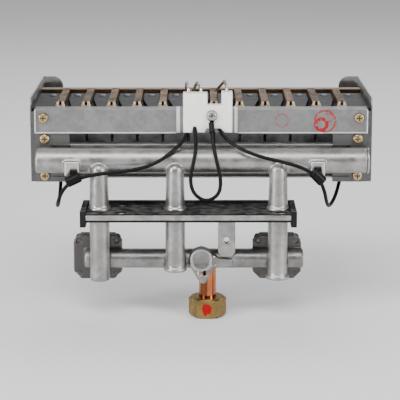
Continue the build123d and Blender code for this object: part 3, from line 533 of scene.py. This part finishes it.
def blade_steel(name, settings):
    """Aluminised steel, grey below the deck and browned by the flame on the ridge, with a painted highlight on
    the ears.
    """
    material, tree, shader, place = start_finish(name)
    axes = split(tree, place)
    cloud = use(tree, "Mottle", Vector=place, Scale=90.0)["Mask"]
    lines = use(tree, "Drawn lines", Vector=place, Across=(1400.0, 40.0, 900.0))["Height"]
    steel = blend_colour(tree, cloud, (0.22, 0.22, 0.22, 1.0), (0.34, 0.34, 0.335, 1.0))
    tints = [shade_of(settings.tint_colour, share) for share in (0.24, 0.72)]
    tan = blend_colour(tree, cloud, *tints)
    # Painted highlight: the ridge's front ears are lightened.
    ears = ramp(tree, axes["Y"], *EAR_DEPTHS, 1.0, 0.0)
    tan = blend_colour(tree, calc(tree, "MULTIPLY", ears, 0.9), tan, EAR_HIGHLIGHT)
    colour = blend_colour(tree, ramp(tree, axes["Z"], *HEATED_HEIGHTS), steel, tan)
    colour = worn(tree, place, colour, settings, (0.62, 0.50, 0.37), 0.5, 0.7)
    tree.links.new(colour, shader.inputs["Base Color"])
    shader.inputs["Metallic"].default_value = 0.85
    roughen(tree, shader, cloud, 0.34, 0.5)
    bump(tree, shader, lines, 0.05 * MM, 0.4)
    return material


def ceramic(name, settings):
    """Fired white ceramic with faint grey handling marks and a thin glaze."""
    material, tree, shader, place = start_finish(name)
    cloud = use(tree, "Mottle", Vector=place, Scale=70.0)["Mask"]
    fired = settings.ceramic_colour
    colour = blend_colour(tree, cloud, rgba(fired), shade_of(fired, 0.93))
    low = ramp(tree, split(tree, place)["Z"], 0.062, 0.070, 1.0, 0.0)
    colour = blend_colour(tree, calc(tree, "MULTIPLY", low, 0.12), colour, HANDLED)
    tree.links.new(colour, shader.inputs["Base Color"])
    roughen(tree, shader, cloud, 0.34, 0.46)
    shader.inputs["Coat Weight"].default_value = 0.25
    shader.inputs["Coat Roughness"].default_value = 0.2
    grain = use(tree, "Cast skin", Vector=place, Scale=1600.0)["Height"]
    bump(tree, shader, grain, 0.03 * MM, 0.4)
    return material


def bare_metal(
    name, settings, base, rough=(0.2, 0.34), across=(900.0, 900.0, 30.0), stain=0.3,
    dab=None, recess_shade_behind=None, streaks=0.0,
):
    """Turned, drawn or plated metal with tool lines and light staining.

    dab is a painted spot's centre and radius; past a given depth the recesses are darkened with
    painted shade; and streaks the strength of dark tarnish along the drawn lines.
    """
    material, tree, shader, place = start_finish(name)
    cloud = use(tree, "Mottle", Vector=place, Scale=110.0)["Mask"]
    lines = use(tree, "Drawn lines", Vector=place, Across=across)["Height"]
    colour = blend_colour(tree, lines, shade_of(base, 0.82), shade_of(base, 1.15))
    colour = blend_colour(tree, calc(tree, "MULTIPLY", cloud, stain), colour, shade_of(base, 0.42))
    if streaks:
        bands = use(tree, "Drawn lines", Vector=place, Across=(330.0, 330.0, 9.0))["Height"]
        colour = blend_colour(tree, ramp(tree, bands, 0.40, 0.58, streaks, 0.0), colour, shade_of(base, 0.22))
    # Painted shade: screw recesses behind the head's face are darkened.
    if recess_shade_behind:
        recess_shade = ramp(tree, split(tree, place)["Y"], recess_shade_behind, recess_shade_behind + 0.8 * MM)
        colour = blend_colour(tree, calc(tree, "MULTIPLY", recess_shade, 0.85), colour, PAINTED_RECESS_SHADE)
    colour = worn(tree, place, colour, settings, lighter(base, 1.5), 0.5, 0.8)
    if dab:
        centre, radius = dab
        shifted = put(tree, "ShaderNodeVectorMath", {0: place, 1: centre}, operation="SUBTRACT")
        wobble = noise(tree, place, 260.0, 2.0)
        squat = put(
            tree, "ShaderNodeVectorMath", {0: shifted.outputs[0], 1: (1.15, 1.0, 0.8)}, operation="MULTIPLY"
        )
        far = put(tree, "ShaderNodeVectorMath", {0: squat.outputs[0]}, operation="LENGTH").outputs["Value"]
        ragged = calc(tree, "MULTIPLY_ADD", calc(tree, "SUBTRACT", wobble, 0.5), radius * 1.6, far)
        spot = ramp(tree, ragged, radius * 0.9, radius, 1.0, 0.0)
        colour = blend_colour(tree, spot, colour, rgba(settings.paint_colour))
        tree.links.new(calc(tree, "SUBTRACT", 1.0, spot), shader.inputs["Metallic"])
        shader.inputs["Specular IOR Level"].default_value = 0.2
    else:
        shader.inputs["Metallic"].default_value = 1.0
    tree.links.new(colour, shader.inputs["Base Color"])
    roughen(tree, shader, cloud, *rough)
    bump(tree, shader, lines, 0.03 * MM)
    return material


def black_polymer(name, base, rough, scale, depth, dusty=0.16, metal_above=None):
    """Black rubber, silicone or moulded nylon, with bare tinned metal over the height metal_above."""
    material, tree, shader, place = start_finish(name)
    cloud = use(tree, "Mottle", Vector=place, Scale=scale)["Mask"]
    colour = blend_colour(tree, cloud, shade_of(base, 0.7), shade_of(base, 1.5))
    dust = use(tree, "Settled dust", Vector=place, Amount=dusty)["Mask"]
    colour = blend_colour(tree, dust, colour, GREY_DUST)
    if metal_above:
        bare = ramp(tree, split(tree, place)["Z"], metal_above, metal_above + 0.3 * MM)
        colour = blend_colour(tree, bare, colour, TINNED)
        tree.links.new(bare, shader.inputs["Metallic"])
    tree.links.new(colour, shader.inputs["Base Color"])
    roughen(tree, shader, cloud, *rough)
    shader.inputs["Specular IOR Level"].default_value = 0.16
    grain = use(tree, "Cast skin", Vector=place, Scale=1300.0)["Height"]
    bump(tree, shader, grain, depth)
    return material


FINISHES = {}
RING_INPUTS = ("Centre_X", "Centre_Z", "Radius", "Line", "Break_up", "Strength")
INSPECTION_RINGS = [
    (0.0662, 0.0706, 0.0052, 0.00075, 0.42, 0.62),
    (0.1014, 0.0700, 0.0086, 0.0008, 0.36, 0.9),
    (0.0984, 0.0672, 0.0046, 0.0014, 0.12, 1.0),
    (0.1042, 0.0728, 0.0034, 0.0008, 0.3, 0.7),
]
BAR_FRONT = 0.0189
RECESS_CHEEKS = ((-0.0189, 0.0016), (0.0285, 0.0014))
EAR_HEIGHTS = (0.0835, 0.0865)
RAIL_WEB_HALF = 0.1075
CLIP_LUGS = ((-0.105, 0.0064), (0.0945, 0.0064))
LUG_FRONT = -0.0034
BOSS_FACE = ((0.0, 0.0094),)
BOSS_FRONT = -0.0028
HEADER_BACK = 0.0108
REAR_HEAT = (0.068, 0.080)
DECK_HEAT = (0.095, 0.125)
DIMPLE_HEIGHTS = (0.0789, 0.0796)
NUT_DAB = ((0.0046, -0.0045, -0.0826), 0.0046)
SCREW_LINES = (700.0, 60.0, 700.0)
PLATED = (0.2, 0.34)
BAR_SCREW_FACE = 0.0179
BLOCK_SCREW_FACE = 0.0071
EARTH_RING_FOOT = 0.0738


def make_finishes(settings):
    """Builds each finish and gives it to the CAD nodes that keep their shape."""
    rings = [dict(zip(RING_INPUTS, ring)) for ring in INSPECTION_RINGS]
    sheets = {
        # bar_sheet's bright front lip and recess cheeks are painted highlights.
        "bar_sheet": dict(tint=(0.74, 0.74, 0.75), rings=rings, bright=RECESS_CHEEKS, lip_highlight_front=BAR_FRONT),
        # rack_sheet's low tint is painted shade on the side plates, and its paler top is a painted highlight on
        # the ears.
        "rack_sheet": dict(tint=(0.34, 0.34, 0.34), painted_light_above=EAR_HEIGHTS),
        # rail_sheet's outer tabs are darkened with painted shade.
        # rail_sheet's tint above 1 is painted light on the rail's lip.
        "rail_sheet": dict(tint=(1.15, 1.15, 1.14), painted_shade_outside=RAIL_WEB_HALF),
        "rear_sheet": dict(tint=(0.8, 0.78, 0.76), heat=REAR_HEAT),
    }
    castings = {
        "cast_alloy": {},
        "tube_alloy": dict(tint=0.94, pads=CLIP_LUGS, pad_front=LUG_FRONT),
        # header_alloy's darkened back is painted shade on the flanges.
        "header_alloy": dict(tint=0.74, pads=BOSS_FACE, pad_front=BOSS_FRONT, painted_shade_back=HEADER_BACK),
    }
    dark_sheets = {
        # deck_sheet's pale dimple tops are a painted highlight.
        "deck_sheet": dict(base=(0.036, 0.040, 0.045), tint_from=DECK_HEAT, dimple_highlight_above=DIMPLE_HEIGHTS),
        "venturi_sheet": dict(base=(0.27, 0.27, 0.275)),
        # cover_metal is partly the covers' own dark finish and partly painted shade behind the header's
        # flanges.
        "cover_metal": dict(base=(0.16, 0.16, 0.165)),
    }
    copper, brass = tuple(settings.copper_colour), tuple(settings.brass_colour)
    bare_metals = {
        "electrode_rod": dict(base=(0.78, 0.72, 0.62), rough=(0.25, 0.4), stain=0.35),
        "copper": dict(base=copper, rough=(0.12, 0.24), stain=0.4, streaks=0.9),
        "nut_brass": dict(base=brass, rough=(0.24, 0.4), stain=0.6, dab=NUT_DAB),
        "brass": dict(base=brass, rough=(0.22, 0.36)),
        # screw_plating's darkened back is painted shade in the screw recesses.
        "screw_plating": dict(
            base=(0.60, 0.43, 0.22), rough=PLATED, across=SCREW_LINES, stain=0.5, recess_shade_behind=BAR_SCREW_FACE
        ),
        # block_plating's darkened back is painted shade in the screw recess.
        "block_plating": dict(
            base=(0.56, 0.57, 0.50), rough=PLATED, across=SCREW_LINES, stain=0.4, recess_shade_behind=BLOCK_SCREW_FACE
        ),
        "dark_screw": dict(base=(0.12, 0.11, 0.10), rough=(0.3, 0.45), across=SCREW_LINES),
    }
    polymers = {
        "ring_and_sleeve": dict(
            base=BLACK, rough=(0.34, 0.5), scale=90.0, depth=0.03 * MM, metal_above=EARTH_RING_FOOT
        ),
        "rubber": dict(base=(0.008, 0.008, 0.0085), rough=(0.55, 0.7), scale=60.0, depth=0.05 * MM, dusty=0.75),
        "lead_sleeve": dict(base=JET_BLACK, rough=(0.34, 0.5), scale=120.0, depth=0.03 * MM, dusty=0.05),
        "clip_nylon": dict(base=JET_BLACK, rough=(0.3, 0.45), scale=90.0, depth=0.03 * MM, dusty=0.06),
        "fibre": dict(base=(0.06, 0.14, 0.09), rough=(0.6, 0.75), scale=200.0, depth=0.05 * MM),
    }
    kinds = ((galvanised, sheets), (cast_alloy, castings), (dark_sheet, dark_sheets), (bare_metal, bare_metals))
    made = {name: kind(name, settings, **look) for kind, looks in kinds for name, look in looks.items()}
    made.update({name: black_polymer(name, **look) for name, look in polymers.items()})
    made["blade_steel"] = blade_steel("blade_steel", settings)
    made["ceramic"] = ceramic("ceramic", settings)
    FINISHES.update(made)
    wearing = {
        "bar_sheet": ["front_bar"],
        "rear_sheet": ["rear_bar"],
        "rack_sheet": ["side_plate_left", "side_plate_right"],
        "header_alloy": ["lower_header"],
        "tube_alloy": ["manifold_tube", "manifold_end_cap"],
        "rail_sheet": ["injector_rail"],
        "cast_alloy": ["riser_left", "riser_middle", "riser_right", "sealing_plate", "support_lug"],
        "deck_sheet": ["air_deck"],
        "venturi_sheet": ["venturi_plate"],
        "cover_metal": ["flange_cover_left", "flange_cover_right"],
        "blade_steel": BLADES,
        "ceramic": ["electrode_block"],
        "electrode_rod": ["spark_electrode", "earth_electrode", "flame_electrode"],
        "copper": ["gas_tube"],
        "nut_brass": ["union_nut"],
        "brass": ["injectors"],
        "screw_plating": ["bar_screws", "rail_screws"],
        "block_plating": ["block_screw"],
        "dark_screw": ["cover_screws"],
        "ring_and_sleeve": ["earth_terminal"],
        "rubber": ["sealing_gasket"],
        "clip_nylon": ["cable_clip_left", "cable_clip_right"],
        "fibre": ["union_washer"],
    }
    for finish, nodes in wearing.items():
        for node in nodes:
            for material_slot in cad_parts[node].material_slots:
                material_slot.material = made[finish]


# --- making pieces ---
DOUBLES_WITHIN = 0.002 * MM
SAME_PLANE = 0.02
SHARP_CORNER = 0.6


def finished(name, shape, finish, body=BURNER, stands_for=(), smooth=True):
    """Turns a bmesh into a piece that rides on a body and wears a finish."""
    mesh = bpy.data.meshes.new(name)
    shape.to_mesh(mesh)
    shape.free()
    mesh.materials.append(FINISHES[finish])
    for face in mesh.polygons:
        face.use_smooth = smooth
    piece = bpy.data.objects.new(name, mesh)
    bpy.context.scene.collection.objects.link(piece)
    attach(piece, body)
    if stands_for:
        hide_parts(*stands_for)
    return piece


def turned(shape, profile, steps):
    """Spins a profile of (radius, height) points about Z."""
    ring = [shape.verts.new((radius, 0.0, height)) for radius, height in profile]
    edges = [shape.edges.new(pair) for pair in zip(ring, ring[1:])]
    bmesh.ops.spin(
        shape, geom=ring + edges, cent=(0, 0, 0), axis=(0, 0, 1), angle=math.tau, steps=steps, use_merge=True
    )


def merged_copy(node, swell=0.0):
    """A closed copy of a CAD node's mesh, swollen along its normals."""
    shape = bmesh.new()
    shape.from_mesh(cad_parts[node].data)
    bmesh.ops.remove_doubles(shape, verts=shape.verts, dist=DOUBLES_WITHIN)
    bmesh.ops.recalc_face_normals(shape, faces=shape.faces)
    shape.normal_update()
    if swell:
        for vert in shape.verts:
            vert.co += vert.normal * swell
    return shape


def evaluated(shape, kind, **settings):
    """The bmesh that one modifier makes of shape."""
    mesh = bpy.data.meshes.new("blank")
    shape.to_mesh(mesh)
    shape.free()
    blank = bpy.data.objects.new("blank", mesh)
    bpy.context.scene.collection.objects.link(blank)
    modifier = blank.modifiers.new(kind.lower(), kind)
    for key, value in settings.items():
        setattr(modifier, key, value)
    depsgraph = bpy.context.evaluated_depsgraph_get()
    result = bpy.data.meshes.new_from_object(blank.evaluated_get(depsgraph))
    made = bmesh.new()
    made.from_mesh(result)
    bpy.data.objects.remove(blank)
    bpy.data.meshes.remove(mesh)
    bpy.data.meshes.remove(result)
    return made


def cast_piece(name, nodes, finish, grain, passes):
    """Joins nodes into one casting with rounded edges and a fillet in every corner."""
    joined = bmesh.new()
    for node, swell in nodes:
        part = merged_copy(node, swell)
        mesh = bpy.data.meshes.new("part")
        part.to_mesh(mesh)
        part.free()
        joined.from_mesh(mesh)
        bpy.data.meshes.remove(mesh)
    cast = evaluated(joined, "REMESH", mode="VOXEL", voxel_size=grain, adaptivity=0.0)
    every_axis = {f"use_axis_{axis}": True for axis in "xyz"}
    for _ in range(passes):
        bmesh.ops.smooth_vert(cast, verts=cast.verts, factor=0.5, **every_axis)
    return finished(name, cast, finish, stands_for=[node for node, _ in nodes])


def make_castings():
    """The manifold tube with its risers, the lower header and the plate with its lug."""
    risers = [(f"riser_{place}", 0.2 * MM) for place in ("left", "middle", "right")]
    plate = [("sealing_plate", 0.0), ("support_lug", 0.1 * MM)]
    cast_piece("manifold_casting", [("manifold_tube", 0.0), *risers], "tube_alloy", 0.9 * MM, 3)
    cast_piece("header_casting", [("lower_header", 0.0)], "header_alloy", 0.75 * MM, 3)
    cast_piece("plate_casting", plate, "cast_alloy", 0.7 * MM, 2)


def rounded_piece(name, node, finish, width, segments, body=BURNER):
    """A copy of a node with its corners rounded over width."""
    shape = merged_copy(node)
    bmesh.ops.dissolve_limit(shape, angle_limit=SAME_PLANE, verts=shape.verts, edges=shape.edges)
    corners = [edge for edge in shape.edges if edge.is_manifold and edge.calc_face_angle() > SHARP_CORNER]
    bmesh.ops.bevel(
        shape, geom=corners, offset=width, affect="EDGES", segments=segments, profile=0.5, material=-1,
        clamp_overlap=True,
    )
    piece = finished(name, shape, finish, body, stands_for=[node])
    even = piece.modifiers.new("even shading", "WEIGHTED_NORMAL")
    even.keep_sharp = True
    return piece


def make_fittings():
    """The electrode block and the union nut, with rounded corners."""
    rounded_piece("ceramic_block", "electrode_block", "ceramic", 0.55 * MM, 3)
    rounded_piece("flare_nut", "union_nut", "nut_brass", 0.3 * MM, 2, NUT)


# --- leads ---
ROUTES = {
    "spark": [
        (-10.9, 15.4, 65.0), (-12.4, 10.8, 57.4), (-23.5, -3.0, 48.5), (-39.0, -7.5, 38.5),
        (-58.5, -9.5, 34.0), (-82.7, -10.8, 32.2), (-103.4, -9.8, 27.2), (-113.0, -8.0, 17.5),
        (-117.6, 0.0, 4.5), (-118.2, 17.0, -0.5), (-118.0, 34.0, 4.0), (-117.6, 48.0, 18.0),
        (-119.6, 59.0, 25.8), (-127.0, 71.0, 26.6),
    ],
    "flame": [
        (13.5, 15.4, 68.0), (16.2, 9.4, 60.0), (31.5, -4.0, 51.0), (48.5, -8.0, 45.2),
        (65.3, -9.6, 41.6), (81.8, -10.0, 37.0), (94.2, -9.8, 29.2), (99.6, -8.4, 18.6),
        (102.4, 0.0, 4.8), (106.0, 17.0, -0.8), (112.0, 34.0, 4.0), (117.2, 48.0, 18.0),
        (119.8, 59.0, 25.8), (127.0, 71.0, 26.6),
    ],
    "earth": [
        (-5.3, 15.4, 69.0), (-4.9, 10.0, 60.6), (-4.2, -3.0, 51.6), (-6.4, -7.6, 40.0),
        (-9.4, -8.6, 25.4), (-5.6, -8.9, 14.0), (4.4, -9.2, 8.6), (14.6, -9.0, 14.4),
        (16.0, -8.4, 27.0), (12.6, -7.0, 41.0), (9.8, -3.4, 53.4), (8.8, 3.2, 63.4),
    ],
}
COIL_CENTRE = (132.0, 86.0, 40.4)
BUNDLE_OFFSET = 1.8
SPLINE_SLACK = 1.012
BOOT_PROFILE = [
    (0.0, 4.0), (1.9, 4.0), (2.3, 3.6), (2.4, 2.2), (2.9, 1.8), (2.9, 0.6), (2.5, 0.2), (2.5, -0.8),
    (2.9, -1.2), (2.9, -2.4), (2.5, -2.8), (2.5, -3.6), (3.05, -4.2), (3.05, -11.4), (2.8, -11.8),
    (2.0, -11.8), (2.0, -8.0), (0.0, -8.0),
]
BOOT_STEPS = 28
TIE_RADIUS = 4.0
TIE_WIDTH = 2.4
TIE_THICKNESS = 0.8
TIE_HEAD = 3.6


def wound(side, settings):
    """Control points of the wound turns, which twist round each other a diameter apart."""
    steps = round(settings.coil_turns * settings.coil_points)
    points = []
    for step in range(steps + 1):
        turn = math.tau * step / settings.coil_points
        twist = math.pi / 2 + turn / 3
        radius = settings.coil_radius / MM * SPLINE_SLACK + BUNDLE_OFFSET * math.sin(twist)
        points.append(
            (
                side * (COIL_CENTRE[0] + BUNDLE_OFFSET * math.cos(twist)),
                COIL_CENTRE[1] + radius * math.sin(turn),
                COIL_CENTRE[2] - radius * math.cos(turn),
            )
        )
    return points


def cable(name, points, settings):
    """A lead as one smooth open spline through its route."""
    line = bpy.data.curves.new(name, "CURVE")
    line.dimensions = "3D"
    line.bevel_depth = settings.lead_diameter / 2
    line.bevel_resolution = 5
    line.resolution_u = 8
    line.use_fill_caps = True
    spline = line.splines.new("NURBS")
    spline.points.add(len(points) - 1)
    for point, place in zip(spline.points, points):
        point.co = (*(value * MM for value in place), 1.0)
    spline.order_u = 3
    spline.use_endpoint_u = True
    line.materials.append(FINISHES["lead_sleeve"])
    piece = bpy.data.objects.new(name, line)
    bpy.context.scene.collection.objects.link(piece)
    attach(piece, BURNER)
    return piece


def run_length(piece):
    """Length of a cable's own line, measured on its curve without the bevel."""
    line = piece.data.copy()
    line.bevel_depth = 0.0
    probe = bpy.data.objects.new("probe", line)
    mesh = bpy.data.meshes.new_from_object(probe)
    ends = [[mesh.vertices[end].co for end in edge.vertices] for edge in mesh.edges]
    total = sum((first - second).length for first, second in ends)
    bpy.data.objects.remove(probe)
    bpy.data.curves.remove(line)
    bpy.data.meshes.remove(mesh)
    return total


def make_leads(settings):
    """The two clipped leads with their wound ends, and the earth loop."""
    for name, side in (("spark", -1), ("flame", 1)):
        points = ROUTES[name] + wound(side, settings)
        lead = cable(f"{name}_cable", points, settings)
        end = Vector(points[-1]) * MM
        sleeve = make_terminal(name, end)
        tie = make_tie(name, side, settings)
        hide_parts(f"{name}_lead", f"{name}_lead_coil")
        length = run_length(lead)
    loop = cable("earth_cable", ROUTES["earth"], settings)
    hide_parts("earth_lead")
    length = run_length(loop)


def make_terminal(name, end):
    """A push-on end: a boot with a ribbed grip over the lead, hanging straight down."""
    shape = bmesh.new()
    turned(shape, [(radius * MM, height * MM) for radius, height in BOOT_PROFILE], BOOT_STEPS)
    bmesh.ops.remove_doubles(shape, verts=shape.verts, dist=1e-6)
    bmesh.ops.recalc_face_normals(shape, faces=shape.faces)
    bmesh.ops.translate(shape, verts=shape.verts, vec=(end.x, end.y, end.z - 0.5 * MM))
    return finished(f"{name}_boot", shape, "clip_nylon", stands_for=[f"{name}_lead_terminal"])


def make_tie(name, side, settings):
    """A cable tie round the top of the wound turns."""
    shape = bmesh.new()
    bmesh.ops.create_circle(shape, segments=20, radius=TIE_RADIUS * MM)
    widened = bmesh.ops.extrude_edge_only(shape, edges=list(shape.edges))
    moved = [item for item in widened["geom"] if isinstance(item, bmesh.types.BMVert)]
    bmesh.ops.translate(shape, verts=moved, vec=(0, 0, TIE_WIDTH * MM))
    bmesh.ops.recalc_face_normals(shape, faces=shape.faces)
    bmesh.ops.solidify(shape, geom=list(shape.faces), thickness=TIE_THICKNESS * MM)
    head = Matrix.Translation((0, -(TIE_RADIUS + 0.6) * MM, TIE_WIDTH / 2 * MM))
    bmesh.ops.create_cube(shape, size=TIE_HEAD * MM, matrix=head)
    across = Matrix.Rotation(math.pi / 2, 3, "X")
    bmesh.ops.rotate(shape, verts=shape.verts, cent=(0, 0, 0), matrix=across)
    coil_x, coil_y, coil_z = (value * MM for value in COIL_CENTRE)
    top = (side * coil_x, coil_y + TIE_WIDTH / 2 * MM, coil_z + settings.coil_radius)
    bmesh.ops.translate(shape, verts=shape.verts, vec=top)
    return finished(f"{name}_tie", shape, "clip_nylon", smooth=False)


# --- stage ---
LENS = 158.0
EYE = (-0.0034, -1.4, 0.3051)
LOOKS_AT = (-0.001, 0.02, 0.004)
LIT_POINT = (0.0, 0.05, 0.02)
FLOOR_GAP = 0.0004
FLOOR_GREY = (0.80, 0.80, 0.80, 1.0)
LOW_SKY = (0.20, 0.20, 0.20, 1.0)
HIGH_SKY = (1.0, 1.0, 1.0, 1.0)
SKY_STRENGTH = 0.55


def aim(thing, target):
    thing.rotation_euler = (Vector(target) - thing.location).to_track_quat("-Z", "Y").to_euler()


def soft_light(name, place, target, size, power):
    """A rectangular soft light, wide and high as size gives."""
    lamp = bpy.data.lights.new(name, "AREA")
    lamp.shape = "RECTANGLE"
    lamp.size, lamp.size_y = size
    lamp.energy = power
    thing = bpy.data.objects.new(name, lamp)
    thing.location = place
    aim(thing, target)
    bpy.context.scene.collection.objects.link(thing)
    return thing


def make_camera():
    """A long lens at eye level above the burner, looking slightly down on it."""
    lens = bpy.data.cameras.new("camera")
    lens.lens = LENS
    lens.sensor_width = 36.0
    camera = bpy.data.objects.new("camera", lens)
    camera.location = EYE
    aim(camera, LOOKS_AT)
    bpy.context.scene.collection.objects.link(camera)
    bpy.context.scene.camera = camera


def make_stage(settings):
    """Pale floor, soft lights and a bright, slightly graded surround."""
    floor_shape = bmesh.new()
    bmesh.ops.create_grid(floor_shape, x_segments=1, y_segments=1, size=9.0)
    bmesh.ops.translate(floor_shape, verts=floor_shape.verts, vec=(0, 0, cad_box[0][2] - FLOOR_GAP))
    mesh = bpy.data.meshes.new("floor")
    floor_shape.to_mesh(mesh)
    floor_shape.free()
    floor = bpy.data.objects.new("floor", mesh)
    bpy.context.scene.collection.objects.link(floor)
    material, _, shader, _ = start_finish("studio_floor")
    shader.inputs["Base Color"].default_value = FLOOR_GREY
    shader.inputs["Roughness"].default_value = 0.7
    mesh.materials.append(material)
    lights = (
        ("key", (-0.25, -1.25, 1.75), (1.5, 0.7), settings.key_power),
        ("side_left", (-1.35, -0.95, 0.55), (0.5, 1.1), settings.side_power),
        ("side_right", (1.35, -0.95, 0.55), (0.5, 1.1), settings.side_power * 0.8),
        ("back", (0.3, 1.2, 1.3), (1.2, 0.8), settings.side_power * 0.5),
    )
    for name, place, size, power in lights:
        soft_light(name, place, LIT_POINT, size, power)
    world = bpy.data.worlds.new("surround")
    world.use_nodes = True
    tree = world.node_tree
    back = tree.nodes["Background"]
    direction = put(tree, "ShaderNodeTexCoord").outputs["Generated"]
    rising = ramp(tree, split(tree, direction)["Z"], -0.15, 0.7)
    tree.links.new(blend_colour(tree, rising, LOW_SKY, HIGH_SKY), back.inputs["Color"])
    back.inputs["Strength"].default_value = SKY_STRENGTH
    bpy.context.scene.world = world


# --- operators ---
class BURNER_OT_stage(bpy.types.Operator):
    """Set up the camera, floor and soft light"""

    bl_idname = "burner.stage"
    bl_label = "Stage"

    def execute(self, context):
        make_camera()
        make_stage(context.scene.burner)
        return {"FINISHED"}


class BURNER_OT_finishes(bpy.types.Operator):
    """Build the finishes and give them to the CAD nodes"""

    bl_idname = "burner.finishes"
    bl_label = "Finishes"

    def execute(self, context):
        make_effects()
        make_finishes(context.scene.burner)
        return {"FINISHED"}


class BURNER_OT_leads(bpy.types.Operator):
    """Lay the electrode leads, their wound ends and the earth loop"""

    bl_idname = "burner.leads"
    bl_label = "Leads"

    def execute(self, context):
        make_leads(context.scene.burner)
        return {"FINISHED"}


class BURNER_OT_castings(bpy.types.Operator):
    """Cast the manifold, the header and the sealing plate"""

    bl_idname = "burner.castings"
    bl_label = "Castings"

    def execute(self, context):
        make_castings()
        return {"FINISHED"}


class BURNER_OT_fittings(bpy.types.Operator):
    """Round the electrode block and the union nut"""

    bl_idname = "burner.fittings"
    bl_label = "Fittings"

    def execute(self, context):
        make_fittings()
        return {"FINISHED"}


class BURNER_PT_panel(bpy.types.Panel):
    """Steps that build the burner"""

    bl_label = "Burner"
    bl_idname = "BURNER_PT_panel"
    bl_space_type = "VIEW_3D"
    bl_region_type = "UI"
    bl_category = "Burner"

    def draw(self, context):
        for step in STEPS:
            self.layout.operator(step.bl_idname)


STEPS = (BURNER_OT_finishes, BURNER_OT_stage, BURNER_OT_leads, BURNER_OT_castings, BURNER_OT_fittings)
CLASSES = (BurnerSettings, *STEPS, BURNER_PT_panel)


def register():
    for item in CLASSES:
        bpy.utils.register_class(item)
    bpy.types.Scene.burner = PointerProperty(type=BurnerSettings)


def unregister():
    del bpy.types.Scene.burner
    for item in reversed(CLASSES):
        bpy.utils.unregister_class(item)


def main():
    register()
    bpy.ops.burner.finishes()
    bpy.ops.burner.stage()
    bpy.ops.burner.leads()
    bpy.ops.burner.castings()
    bpy.ops.burner.fittings()


if __name__ == "__main__":
    main()
